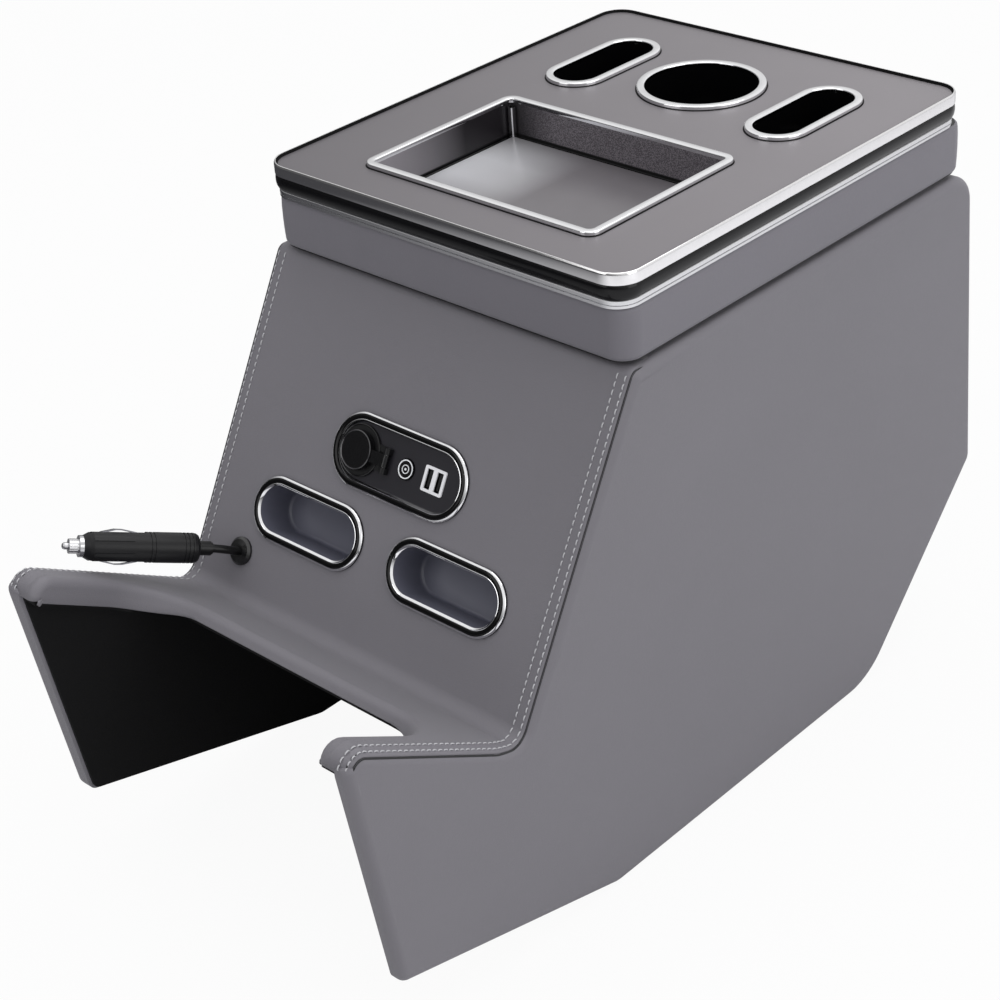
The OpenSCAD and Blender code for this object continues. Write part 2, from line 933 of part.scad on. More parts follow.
// Direction of the route at point i
function route_dir(i) = unit(cord_route[min(i + 1, len(cord_route) - 1)] - cord_route[max(i - 1, 0)]);

function ring_at(i) =
    let (d = route_dir(i), a = unit(cross(d, [0, 1, 0])), b = cross(d, a))
    [for (k = [0 : cord_sides - 1])
        cord_route[i] + (a * cos(360 * k / cord_sides) + b * sin(360 * k / cord_sides)) * cord_d / 2];

module cord() {
    n = len(cord_route);
    m = cord_sides;
    color("#141416")
        on_face()
            translate([grommet_x, grommet_v, 0])
                polyhedron([for (i = [0 : n - 1]) each ring_at(i)], concat(
                    [[for (k = [0 : m - 1]) k]],
                    [[for (k = [m - 1 : -1 : 0]) (n - 1) * m + k]],
                    [for (i = [0 : n - 2], k = [0 : m - 1])
                        [i * m + (k + 1) % m, i * m + k, (i + 1) * m + k, (i + 1) * m + (k + 1) % m]]));
}

module plug_strain_relief() {
    color("#141416")
        on_plug()
            difference() {
                union() {
                    disc(relief_d - 1.6, 0, relief_l);
                    disc(relief_d, 1.2, relief_l);
                }
                disc(cord_d + 2 * fit, -1, relief_l - 2);
            }
}

module plug_body() {
    r = plug_d / 2;
    a = relief_l;
    b = plug_front;
    rib_h = 0.5;
    color("#1a1a1c")
        on_plug()
            difference() {
                union() {
                    rotate_extrude()
                        polygon([[0, a], [r - 3.2, a], [r - 1.6, a + 0.6], [r - 0.7, a + 2], [r - 0.3, a + 4],
                            [r - 0.3, b - 6], [r - 1.2, b - 3.6], [r - 3.2, b], [0, b]]);
                    for (q = [60, 120, 240, 300])
                        rotate([0, 0, q])
                            translate([0, 0, b - 32])
                                linear_extrude(26)
                                    translate([r - 1, 0])
                                        square([1.8 + rib_h, 2.4], center = true);
                }
                for (z = [a + 5, a + 7.6, a + 10.2, a + 30, a + 32.6])
                    rotate_extrude()
                        polygon([[r - 0.8, z], [r + 1, z - 0.4], [r + 1, z + 1.4], [r - 0.8, z + 1]]);
                for (q = [0, 180])
                    rotate([0, 0, q])
                        translate([3.8, -spring_slot_w / 2, spring_start - 1.5])
                            cube([r, spring_slot_w, spring_l + 4]);
                disc(tip_d - 1.2 + 2 * button_gap, b - 8, b + 1);
            }
}

// Disc and knurled nut that hold the tip in the plug
module plug_collar() {
    nut_r = collar_d / 2;
    color("#c4c6ca")
        on_plug()
            difference() {
                union() {
                    disc(collar_disc_d, plug_front, plug_front + collar_disc_l);
                    disc(collar_d, plug_front + collar_disc_l, plug_front + collar_l);
                }
                for (q = [0 : 24 : 336])
                    rotate([0, 0, q])
                        translate([nut_r + 0.25, 0, plug_front + collar_disc_l + 1])
                            cylinder(d = 1.1, h = collar_l, $fn = 12);
                disc(tip_d + 2 * button_gap, plug_front - 1, plug_front + collar_l + 1);
            }
}

module plug_tip() {
    r = tip_d / 2;
    top = plug_front + collar_l + tip_out;
    color("#c4c6ca")
        on_plug()
            rotate_extrude()
                polygon([[0, plug_front - 4], [r - 0.6, plug_front - 4], [r - 0.6, plug_front + tip_travel + 0.5],
                    [r, plug_front + tip_travel + 0.5], [r, top - 1.4], [r - 0.5, top - 0.4], [r - 1.3, top], [0, top]]);
}

// Bowed spring contact, drawn on the +x side of the plug
module plug_spring(side) {
    r = plug_d / 2;
    color("#c4c6ca")
        on_plug()
            rotate([0, 0, side > 0 ? 0 : 180])
                translate([0, spring_w / 2, spring_start])
                    rotate([90, 0, 0])
                        linear_extrude(spring_w)
                            polygon([[spring_pivot_r - 1, 0], [spring_pivot_r, 0], [r - 0.6, 5], [r + 1.2, 14],
                                [r + 1.3, 19], [r - 0.4, 27], [spring_pivot_r + 0.6, spring_l],
                                [spring_pivot_r - 0.4, spring_l], [r - 0.4 - spring_t * 1.2, 27 - spring_t],
                                [r + 1.3 - spring_t, 18.6], [r + 1.2 - spring_t, 14.4],
                                [r - 0.6 - spring_t, 5.5]]);
}

module plug_spring_upper() {
    plug_spring(1);
}

module plug_spring_lower() {
    plug_spring(-1);
}

// Lid pieces
module lid_ring(section) {
    on_deck()
        translate([0, deck_l / 2, 0])
            loop_sweep(body_w, deck_l, deck_r, section);
}

module lid_box() {
    color("#1d1d1f")
        difference() {
            union() {
                on_deck()
                    translate([0, lid_mid_u, lid_bottom_z])
                        linear_extrude(lid_box_h)
                            round_rect(lid_box_w, lid_box_l, lid_box_r);
                on_deck()
                    translate([0, deck_l / 2, shoulder_z])
                        linear_extrude(upper_z - shoulder_z)
                            round_rect(body_w - 2 * ledge_w, deck_l - 2 * ledge_w, deck_r - ledge_w);
            }
            on_deck()
                translate([0, deck_l / 2, lid_bottom_z + lid_floor])
                    linear_extrude(deck_top_z - lid_bottom_z)
                        round_rect(body_w - 2 * (ledge_w + lid_wall), deck_l - 2 * (ledge_w + lid_wall),
                            deck_r - ledge_w - 2);
        }
}

module lid_cover() {
    w = body_w - 2 * lid_side_inset;
    l = lid_back_u - lid_front_u;
    color("#76767a")
        on_deck()
            translate([0, lid_mid_u, 0])
                loop_sweep(w, l, lid_box_r + leather_t, [[-leather_t, lid_bottom_z],
                    [-0.8 * leather_t, lid_bottom_z], [-0.3 * leather_t, lid_bottom_z + 0.5 * leather_t],
                    [0, lid_bottom_z + 1.5 * leather_t], [0, shoulder_z - 1.5 * leather_t],
                    [-0.15 * leather_t, shoulder_z - 0.5 * leather_t], [-0.5 * leather_t, shoulder_z],
                    [-leather_t, shoulder_z]]);
}

module lid_lower_frame() {
    a = -lower_inset;
    g = -lower_inset - groove_d;
    mid_z = (shoulder_z + band_z) / 2;
    color("#8b8b88")
        lid_ring([[-ledge_w, shoulder_z], [a, shoulder_z], [a, mid_z - groove_d], [g, mid_z - 0.5 * groove_d],
            [g, mid_z + 0.5 * groove_d], [a, mid_z + groove_d], [a, band_z - groove_d], [g, band_z], [-ledge_w, band_z]]);
}

module lid_band() {
    steps = [[0, band_low_inset], [0.1, 0.9], [0.25, 0.35], [0.5, 0], [0.75, 0.05], [0.9, band_top_inset], [1, 1]];
    color("#0e0e10")
        lid_ring(concat([[-ledge_w, band_z]], [for (q = steps) [-q[1], band_z + q[0] * band_h]],
            [[-ledge_w, upper_z]]));
}

module lid_upper_frame() {
    seat_z = plate_top_z - plate_t;
    color("#b9b9b6")
        lid_ring([[-ledge_w, upper_z], [-0.4 * frame_edge, upper_z], [0, upper_z + 0.4 * frame_edge],
            [0, deck_top_z - frame_edge], [-0.3 * frame_edge, deck_top_z - 0.3 * frame_edge],
            [-frame_edge, deck_top_z], [-deck_edge_w, deck_top_z], [-deck_edge_w, seat_z], [-ledge_w, seat_z]]);
}

// Plan shapes of the deck openings: grow = 0 is the inside of a rim
module tray_shape(grow) {
    translate([deck_shift, tray_mid_u])
        round_rect(tray_w - 2 * rim_w + 2 * grow, tray_l - 2 * rim_w + 2 * grow, tray_corner_r - rim_w + grow);
}

module cup_shape(grow) {
    translate([cup_x, cup_u])
        circle(cup_d / 2 + grow, $fn = 96);
}

module slot_shape(side, grow) {
    translate([side * slot_x + deck_shift, slot_u])
        rotate([0, 0, 90])
            stadium(slot_l - 2 * rim_w + 2 * grow, slot_w - 2 * rim_w + 2 * grow);
}

module deck_plate() {
    color("#8d8b88")
        on_deck()
            translate([0, 0, plate_top_z - plate_t])
                linear_extrude(plate_t)
                    difference() {
                        translate([0, deck_l / 2])
                            round_rect(body_w - 2 * deck_edge_w, deck_l - 2 * deck_edge_w, deck_r - deck_edge_w);
                        tray_shape(bin_t);
                        cup_shape(bin_t);
                        slot_shape(-1, bin_t);
                        slot_shape(1, bin_t);
                    }
}

module tray_bin() {
    color("#3c3c40")
        on_deck()
            difference() {
                translate([0, 0, plate_top_z - tray_depth - bin_t])
                    linear_extrude(tray_depth + bin_t)
                        tray_shape(bin_t);
                translate([0, 0, plate_top_z - tray_depth])
                    linear_extrude(tray_depth + 1)
                        tray_shape(0);
            }
}

module tray_rim() {
    color("#d8d8dc")
        on_deck()
            translate([deck_shift, tray_mid_u, plate_top_z])
                loop_sweep(tray_w - 2 * rim_w, tray_l - 2 * rim_w, tray_corner_r - rim_w, rim_section());
}

module cup_bin() {
    color("#0c0c0e")
        on_deck()
            difference() {
                translate([0, 0, plate_top_z - cup_depth - bin_t])
                    linear_extrude(cup_depth + bin_t)
                        cup_shape(bin_t);
                translate([0, 0, plate_top_z - cup_depth])
                    linear_extrude(cup_depth + 1)
                        cup_shape(0);
            }
}

module cup_rim() {
    r = cup_d / 2;
    color("#d8d8dc")
        on_deck()
            translate([cup_x, cup_u, plate_top_z])
                rotate_extrude($fn = 96)
                    polygon([for (p = rim_section()) [r + p[0], p[1]]]);
}

module slot_bin(side) {
    color("#0c0c0e")
        on_deck()
            difference() {
                translate([0, 0, plate_top_z - slot_depth - bin_t])
                    linear_extrude(slot_depth + bin_t)
                        slot_shape(side, bin_t);
                translate([0, 0, plate_top_z - slot_depth])
                    linear_extrude(slot_depth + 1)
                        slot_shape(side, 0);
            }
}

module slot_rim(side) {
    color("#d8d8dc")
        on_deck()
            translate([side * slot_x + deck_shift, slot_u, plate_top_z])
                loop_sweep(slot_w - 2 * rim_w, slot_l - 2 * rim_w, slot_w / 2 - rim_w, rim_section());
}

module left_slot_bin() {
    slot_bin(-1);
}

module right_slot_bin() {
    slot_bin(1);
}

module left_slot_rim() {
    slot_rim(-1);
}

module right_slot_rim() {
    slot_rim(1);
}

// Hinge pieces
module barrel(x0, x1, d) {
    on_deck()
        translate([x0, hinge_u, hinge_z])
            rotate([0, 90, 0])
                cylinder(d = d, h = x1 - x0);
}

module hinge_bracket() {
    side_in = centre_knuckle_l / 2 + knuckle_gap;
    stem_u = hinge_u + barrel_d / 2 - bracket_t;
    color("#18181a")
        difference() {
            union() {
                for (s = [-1, 1])
                    intersection() {
                        barrel(-barrel_l / 2, barrel_l / 2, barrel_d);
                        translate([s > 0 ? side_in : -body_w, -deck_l, 0])
                            cube([body_w - (s > 0 ? 0 : side_in), 2 * deck_l, deck_top_z + 50]);
                    }
                difference() {
                    along_x(-bracket_w / 2, bracket_w / 2)
                        polygon([[stem_u, hinge_z], [stem_u, body_top + 10],
                            [back_u(bracket_bend_z), bracket_bend_z], [back_u(bracket_low_z), bracket_low_z],
                            [back_u(bracket_low_z) + bracket_t, bracket_low_z],
                            [back_u(bracket_bend_z) + bracket_t, bracket_bend_z],
                            [stem_u + bracket_t, body_top + 10], [stem_u + bracket_t, hinge_z]]);
                    translate([-side_in, -deck_l, hinge_z - barrel_d])
                        cube([2 * side_in, 2 * deck_l, 2 * barrel_d]);
                    for (s = [-1, 1])
                        translate([s > 0 ? barrel_l / 2 : -body_w, -deck_l, hinge_z - barrel_d])
                            cube([body_w - (s > 0 ? 0 : barrel_l / 2), 2 * deck_l, 2 * barrel_d]);
                }
            }
            barrel(-barrel_l, barrel_l, hinge_pin_d);
        }
}

module hinge_pin() {
    color("#8a8a8e")
        barrel(-barrel_l / 2, barrel_l / 2, hinge_pin_d);
}

module hinge_screws() {
    lean = atan((back_break_u - back_top_u) / (body_top - back_break_z));
    color("#8a8a8e")
        for (x = [-bracket_screw_x, bracket_screw_x], z = [bracket_low_z + 12, bracket_bend_z - 24])
            on_deck()
                translate([x, back_u(z) + bracket_t, z])
                    rotate([lean - 90, 0, 0])
                        disc(bracket_screw_d, 0, 2);
}

module lid_hinge_leaf() {
    side = centre_knuckle_l / 2 - knuckle_gap;
    color("#18181a")
        difference() {
            union() {
                barrel(-side, side, barrel_d);
                along_x(-side, side)
                    polygon([[deck_l, hinge_z - 5], [hinge_u, hinge_z - barrel_d / 2], [hinge_u, hinge_z],
                        [deck_l, hinge_z]]);
                along_x(-leaf_w / 2, leaf_w / 2)
                    polygon([[deck_l, shoulder_z + 1], [deck_l + leaf_t, shoulder_z + 1],
                        [deck_l + leaf_t, hinge_z - 4.5], [deck_l, hinge_z - 4.5]]);
            }
            barrel(-barrel_l, barrel_l, hinge_pin_d + 2 * run_fit);
        }
}

module leaf_screws() {
    color("#8a8a8e")
        for (x = [-leaf_screw_x, leaf_screw_x])
            on_deck()
                translate([x, deck_l + leaf_t, (shoulder_z + hinge_z - 5) / 2])
                    rotate([-90, 0, 0])
                        disc(leaf_screw_d, 0, 1.2);
}

module lid_bumpers() {
    h = lid_gap - 0.1;
    color("#101012")
        on_deck()
            for (x = [-1, 1], y = [tub_front_u - tub_flange / 2, tub_back_u + tub_flange / 2])
                translate([x * 110, y, 0])
                    disc(8, lid_bottom_z - h, lid_bottom_z);
}

left_side_board();
right_side_board();
front_shell();
rear_board();
floor_board();
top_frame();
left_side_cover();
right_side_cover();
front_cover();
rear_cover();
storage_tub();
left_pocket_bin();
right_pocket_bin();
left_pocket_bezel();
right_pocket_bezel();
left_pocket_outer_ring();
right_pocket_outer_ring();
left_pocket_inner_ring();
right_pocket_inner_ring();
power_bezel();
power_outer_ring();
power_inner_ring();
power_faceplate();
power_housing();
socket_barrel();
socket_contact();
socket_cap();
cap_hinge_pin();
ring_button();
usb_module();
usb_frame();
cord_grommet();
cord();
plug_strain_relief();
plug_body();
plug_collar();
plug_tip();
plug_spring_upper();
plug_spring_lower();
hinge_bracket();
hinge_pin();
hinge_screws();
lid_box();
lid_cover();
lid_lower_frame();
lid_band();
lid_upper_frame();
deck_plate();
tray_bin();
tray_rim();
cup_bin();
cup_rim();
left_slot_bin();
right_slot_bin();
left_slot_rim();
right_slot_rim();
lid_hinge_leaf();
leaf_screws();
lid_bumpers();
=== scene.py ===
import math

import bmesh
import bpy
import numpy as np
from mathutils import Matrix, Vector


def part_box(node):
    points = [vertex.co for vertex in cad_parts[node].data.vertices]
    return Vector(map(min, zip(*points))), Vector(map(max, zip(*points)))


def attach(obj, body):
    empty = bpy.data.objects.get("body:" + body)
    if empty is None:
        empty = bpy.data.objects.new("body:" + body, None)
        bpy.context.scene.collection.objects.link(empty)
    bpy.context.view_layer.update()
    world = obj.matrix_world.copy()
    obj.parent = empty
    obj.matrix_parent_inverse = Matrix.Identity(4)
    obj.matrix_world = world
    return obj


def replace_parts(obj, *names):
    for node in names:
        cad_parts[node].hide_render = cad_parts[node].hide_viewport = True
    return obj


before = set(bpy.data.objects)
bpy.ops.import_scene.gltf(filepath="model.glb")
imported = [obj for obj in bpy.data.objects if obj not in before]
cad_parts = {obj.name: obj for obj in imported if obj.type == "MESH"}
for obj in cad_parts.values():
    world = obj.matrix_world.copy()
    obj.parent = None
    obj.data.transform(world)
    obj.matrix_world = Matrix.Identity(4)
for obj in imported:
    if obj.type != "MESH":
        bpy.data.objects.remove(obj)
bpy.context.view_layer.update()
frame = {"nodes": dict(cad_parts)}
MM = 0.001

# ---------------------------------------------------------------- places
# Lengths in millimetres; u runs along the part from the front edge of the deck
HINGE_U = 357.0
pin_lo, pin_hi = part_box("hinge_pin")
SHIFT = (pin_lo[1] + pin_hi[1]) / 2 / MM - HINGE_U
LEAN = math.radians(29.2)
RISE = math.radians(30.6)
FACE_L = 232.0
SHELF_L = 163.5
BODY_TOP = 362.5
HALF_W = 150.0
DECK_L = 352.0
EDGE_U = EDGE_R = 8.0
FOLD_R = 10.0
FOLD = np.array([EDGE_U - FACE_L * math.sin(LEAN), BODY_TOP - FACE_L * math.cos(LEAN)])
NOSE = FOLD + SHELF_L * np.array([-math.cos(RISE), math.sin(RISE)])
NOSE_R = 12.0
# Side outline, clockwise from the top front: along, height, radius
CORNERS = np.array([
    [EDGE_U, BODY_TOP, EDGE_R], [DECK_L + 11, BODY_TOP, 22], [DECK_L + 28, 132, 10], [DECK_L - 95, 0, 55],
    [-25, 0, 28], [NOSE[0] + 27, 54, 8], [NOSE[0], NOSE[1], NOSE_R], [FOLD[0], FOLD[1], FOLD_R]])
FACE_AXES = np.array([
    [1, 0, 0],
    [0, math.sin(LEAN), math.cos(LEAN)],
    [0, -math.cos(LEAN), math.sin(LEAN)]])
FACE_ORIGIN = np.array([0, SHIFT + FOLD[0], FOLD[1]])


def on_deck(points):
    """Deck frame to the row frame: the same axes, moved along Y by the body's own shift."""
    return points + np.array([0, SHIFT, 0])


def on_face(points):
    """Face frame to the row frame: x across, y up the slope, z outwards from the leather."""
    return FACE_ORIGIN + points @ FACE_AXES


# Grommet on the face: across, up the slope, out
GROMMET = np.array([-112, 0.138 * FACE_L, 0.0])


# ---------------------------------------------------------------- camera
def set_camera():
    """Camera solved from the photograph: rows are right, down and forward in the row frame."""
    cam = bpy.data.cameras.new("photo_camera")
    cam.sensor_width = 36
    cam.lens = 79.952
    cam.clip_end = 20
    obj = bpy.data.objects.new("photo_camera", cam)
    bpy.context.scene.collection.objects.link(obj)
    right = np.array([0.7341, 0.6762, -0.0619])
    forward = np.array([-0.6027, 0.6069, -0.5181])
    forward /= np.linalg.norm(forward)
    right -= forward * (right @ forward)
    right /= np.linalg.norm(right)
    up = np.cross(right, forward)
    place = np.array([887.1, -850.7 + SHIFT, 543.3 + 423.0]) * MM
    rows = [[right[i], up[i], -forward[i], place[i]] for i in range(3)] + [[0, 0, 0, 1]]
    obj.matrix_world = Matrix(rows)
    bpy.context.scene.camera = obj


set_camera()


# ---------------------------------------------------------------- shader helpers
class Value:
    """Wraps a float socket so that an expression adds Math nodes."""

    def __init__(self, kit, socket):
        self.kit = kit
        self.socket = socket

    def _math(self, op, a, b):
        return Value(self.kit, self.kit.node("ShaderNodeMath", {"operation": op}, [a, b]).outputs[0])

    def __add__(self, o):
        return self._math("ADD", self, o)

    def __radd__(self, o):
        return self._math("ADD", o, self)

    def __sub__(self, o):
        return self._math("SUBTRACT", self, o)

    def __rsub__(self, o):
        return self._math("SUBTRACT", o, self)

    def __mul__(self, o):
        return self._math("MULTIPLY", self, o)

    def __rmul__(self, o):
        return self._math("MULTIPLY", o, self)

    def ramp(self, lo, hi, a=0.0, b=1.0):
        """Clamped map of lo..hi to a..b."""
        n = self.kit.node("ShaderNodeMapRange", {"clamp": True}, [self, lo, hi, a, b])
        return Value(self.kit, n.outputs[0])


class Finish:
    """One node material with a Principled shader."""

    def __init__(self, name, **shader):
        self.mat = bpy.data.materials.new(name)
        self.mat.use_nodes = True
        self.tree = self.mat.node_tree
        self.tree.nodes.clear()
        self.bsdf = self.node("ShaderNodeBsdfPrincipled", {}, shader)
        self.out = self.node("ShaderNodeOutputMaterial", {}, {"Surface": self.bsdf.outputs[0]})
        self.coords = self.node("ShaderNodeTexCoord", {}, {}).outputs["Object"]

    def node(self, kind, settings, inputs):
        n = self.tree.nodes.new(kind)
        for key, v in settings.items():
            setattr(n, key, v)
        items = inputs.items() if isinstance(inputs, dict) else enumerate(inputs)
        for key, v in items:
            sock = n.inputs[key]
            if isinstance(v, Value):
                self.tree.links.new(v.socket, sock)
            elif isinstance(v, bpy.types.NodeSocket):
                self.tree.links.new(v, sock)
            else:
                sock.default_value = v
        return n

    def scaled(self, scale):
        return self.node("ShaderNodeMapping", {}, {"Vector": self.coords, "Scale": scale}).outputs[0]

    def noise(self, scale, detail=3.0, vector=None, colour=False):
        n = self.node("ShaderNodeTexNoise", {}, {"Vector": vector or self.coords, "Scale": scale,
                                                 "Detail": detail, "Roughness": 0.55})
        return n.outputs["Color"] if colour else Value(self, n.outputs["Fac"])

    def cells(self, scale, vector):
        n = self.node("ShaderNodeTexVoronoi", {"feature": "F1"}, {"Vector": vector, "Scale": scale})
        return Value(self, n.outputs["Distance"])

    def axis(self, i):
        n = self.node("ShaderNodeSeparateXYZ", {}, {"Vector": self.coords})
        return Value(self, n.outputs[i])

    def blend(self, fac, a, b):
        n = self.node("ShaderNodeMix", {"data_type": "RGBA"}, {"Factor": fac})
        for sock, v in ((n.inputs[6], a), (n.inputs[7], b)):
            if isinstance(v, bpy.types.NodeSocket):
                self.tree.links.new(v, sock)
            else:
                sock.default_value = v
        return n.outputs[2]

    def colour(self, v):
        self.tree.links.new(v, self.bsdf.inputs["Base Color"])

    def roughness(self, v):
        self.tree.links.new(v.socket, self.bsdf.inputs["Roughness"])

    def bump(self, height, distance, strength=1.0):
        n = self.node("ShaderNodeBump", {}, {"Height": height, "Distance": distance, "Strength": strength})
        self.tree.links.new(n.outputs[0], self.bsdf.inputs["Normal"])


def rgb(r, g, b):
    """A colour written as the 0 to 255 display value it should look like, made linear."""
    lin = [(v / 255 / 12.92) if v <= 10 else ((v / 255 + 0.055) / 1.055) ** 2.4 for v in (r, g, b)]
    return (lin[0], lin[1], lin[2], 1.0)


def leather(name, tone):
    """Fine pebbled leather: small cells and noise for the grain, faint larger tone changes."""
    f = Finish(name, Roughness=0.5, **{"Specular IOR Level": 0.35, "Sheen Weight": 0.12, "Sheen Roughness": 0.4})
    cells = f.cells(520.0, f.node("ShaderNodeMix", {"data_type": "RGBA"}, {
        0: 0.03, 6: f.coords, 7: f.noise(300.0, 2.0, colour=True)}).outputs[2])
    fine = f.noise(1400.0, 2.0)
    broad = f.noise(9.0, 3.0)
    a = rgb(*[v * 0.965 for v in tone])
    b = rgb(*[v * 1.035 for v in tone])
    f.colour(f.blend(broad * 0.7 + cells * 0.35, a, b))
    f.roughness(cells.ramp(0.1, 0.7, 0.46, 0.6))
    f.bump(cells * 0.8 + fine * 0.25, 0.00022, 0.55)
    return f.mat


def plastic(name, tone, rough, grain=0.0, **shader):
    """Moulded plastic with a faint texture and small changes of gloss."""
    f = Finish(name, Roughness=rough, **shader)
    n = f.noise(900.0, 2.0)
    broad = f.noise(25.0, 2.0)
    f.colour(f.blend(broad, rgb(*[v * 0.94 for v in tone]), rgb(*[v * 1.06 for v in tone])))
    f.roughness(n.ramp(0.3, 0.7, rough * 0.9, min(1.0, rough * 1.12)))
    if grain:
        f.bump(n, grain, 0.5)
    return f.mat


def metal(name, tone, rough, streak=(1, 1, 1)):
    """Metal with streaks along one direction in its roughness."""
    f = Finish(name, Metallic=1.0, Roughness=rough)
    n = f.noise(260.0, 3.0, vector=f.scaled(streak))
    f.colour(f.blend(n, rgb(*[v * 0.97 for v in tone]), rgb(*[v * 1.02 for v in tone])))
    f.roughness(n.ramp(0.3, 0.7, rough * 0.8, rough * 1.2))
    return f.mat


LEATHER = leather("grey_leather", (114, 112, 118))
LID_LEATHER = leather("lid_leather", (113, 111, 118))
THREAD = plastic("light_thread", (176, 176, 180), 0.7, 0.00008)
# painted shadow: dark colour of the tubes that stand in for the shade in the seam grooves
SEAM_DARK = plastic("seam_shadow", (34, 34, 36), 0.8)
CHROME = metal("bright_chrome", (232, 232, 234), 0.06)
FRAME_METAL = metal("polished_frame", (226, 225, 226), 0.12, (0.05, 1, 1))
LOWER_METAL = metal("satin_lower_frame", (206, 206, 208), 0.2, (0.05, 1, 8))


def deck_finish():
    """Satin grey plate: fine speckle, and painted light that brightens it slowly from the near left to the far right.
    """
    f = Finish("satin_deck", Roughness=0.38, Metallic=0.35, **{"Specular IOR Level": 0.4})
    # painted light: the plate is coloured darker at the near left and lighter towards the far right
    across = (f.axis(0) * 2.0 + f.axis(1) * 1.5).ramp(-0.5, 0.6)
    f.colour(f.blend(across * 0.85 + f.noise(12.0) * 0.15, rgb(95, 92, 96), rgb(132, 128, 132)))
    f.bump(f.noise(2600.0, 2.0), 0.00004, 0.35)
    return f.mat


def tray_wall_finish(z):
    """Dark grained wall, smoother on the left side, with a painted highlight towards the near end of the left side,
    painted shade in the left corners of the other walls, and a painted shadow that makes it black at its foot at z mm.
    """
    f = Finish("tray_wall", Roughness=0.4, **{"Specular IOR Level": 0.3})
    left = f.axis(0).ramp(-0.0885, -0.086, 1.0, 0.0)
    near = f.axis(1).ramp(-0.03, 0.055, 1.0, 0.0)
    speckle = f.noise(1500.0, 2.0).ramp(0.4, 0.66)
    grained = f.blend(speckle, rgb(68, 64, 69), rgb(128, 123, 129))
    # painted shade: the walls darken into the left corners
    corner = f.axis(0).ramp(-0.086, -0.05)
    dark = f.blend(corner, rgb(24, 22, 25), grained)
    # painted light on the left wall: pale grey at its near end as a painted highlight, dark further back as painted
    # shade
    wall = f.blend(left, dark, f.blend(near, rgb(30, 28, 31), rgb(150, 146, 152)))
    # painted shadow: black at the foot of the wall, in the groove round the floor panel
    foot = f.axis(2).ramp((z + 2.2) * MM, (z + 3.0) * MM, 1.0, 0.0)
    f.colour(f.blend(foot, wall, rgb(7, 7, 8)))
    f.roughness(left.ramp(0.0, 1.0, 0.55, 0.25))
    return f.mat


def tray_floor_finish():
    """Smooth grey floor with a painted highlight at its left end."""
    f = Finish("tray_floor", Roughness=0.3, Metallic=0.2)
    # painted highlight: a pale patch painted on the left end, fading towards the near and far ends
    glow = f.axis(0).ramp(-0.095, -0.01, 1.0, 0.0)
    mid = f.axis(1).ramp(-0.03, 0.03) * f.axis(1).ramp(0.06, 0.11, 1.0, 0.0)
    f.colour(f.blend(glow * mid * 0.9 + f.noise(18.0) * 0.08, rgb(96, 92, 96), rgb(236, 237, 242)))
    return f.mat


DECK_METAL = deck_finish()
TRAY_FLOOR = tray_floor_finish()
GLOSS = plastic("gloss_black", (7, 7, 8), 0.1, **{"Specular IOR Level": 0.22})
BAND_GLOSS = plastic("band_black", (12, 12, 14), 0.16, **{"Specular IOR Level": 0.25})
BLACK = plastic("black_plastic", (15, 15, 17), 0.4, 0.00006, **{"Specular IOR Level": 0.3})
BOARD = plastic("black_board", (19, 19, 20), 0.7, 0.00008, **{"Specular IOR Level": 0.15})
CHARCOAL = plastic("charcoal_plate", (36, 35, 40), 0.42, 0.00004, **{"Specular IOR Level": 0.25})
BIN_GREY = plastic("pocket_grey", (92, 93, 106), 0.36, 0.00006)
RUBBER = plastic("black_rubber", (12, 12, 13), 0.35, 0.00005, **{"Specular IOR Level": 0.35})
CAP_GLOSS = plastic("cap_black", (9, 9, 11), 0.18, **{"Specular IOR Level": 0.4})
CAP_EDGE = plastic("cap_edge", (30, 30, 33), 0.12, **{"Specular IOR Level": 1.0})
PLUG_BLACK = plastic("plug_black", (17, 17, 19), 0.38, 0.00004, **{"Specular IOR Level": 0.3})
WHITE = plastic("white_frame", (228, 228, 232), 0.35)
LIGHT_RING = plastic("switch_light", (236, 238, 242), 0.3)
NICKEL = metal("nickel", (196, 196, 198), 0.2)
BRASS = metal("brass", (190, 165, 110), 0.3)
SPRING = metal("spring_steel", (104, 104, 108), 0.3)
GROMMET_BLACK = plastic("grommet_rubber", (13, 13, 14), 0.2, **{"Specular IOR Level": 0.8})
STEEL = metal("plain_steel", (150, 150, 152), 0.35)
BLACK_STEEL = plastic("black_steel", (20, 20, 21), 0.35, 0.00004)


# ---------------------------------------------------------------- mesh helpers
def make(name, verts, faces, mats, body, sharp, face_mats):
    """A mesh object from arrays in millimetres, smooth with sharp edges past an angle."""
    me = bpy.data.meshes.new(name)
    me.from_pydata((np.asarray(verts) * MM).tolist(), [], [list(map(int, f)) for f in faces])
    me.update()
    for m in mats:
        me.materials.append(m)
    me.polygons.foreach_set("material_index", np.asarray(face_mats, dtype=np.int32))
    me.shade_smooth()
    me.set_sharp_from_angle(angle=math.radians(sharp))
    obj = bpy.data.objects.new(name, me)
    bpy.context.scene.collection.objects.link(obj)
    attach(obj, body)
    return obj


def grid_faces(rows, cols, wrap_rows, wrap_cols, start):
    """Quads of a grid of points stored row by row, closed in either direction."""
    r = np.arange(rows if wrap_rows else rows - 1)
    c = np.arange(cols if wrap_cols else cols - 1)
    R, C = np.meshgrid(r, c, indexing="ij")
    R2 = (R + 1) % rows
    C2 = (C + 1) % cols
    q = np.stack([R * cols + C, R * cols + C2, R2 * cols + C2, R2 * cols + C], -1).reshape(-1, 4)
    return q + start


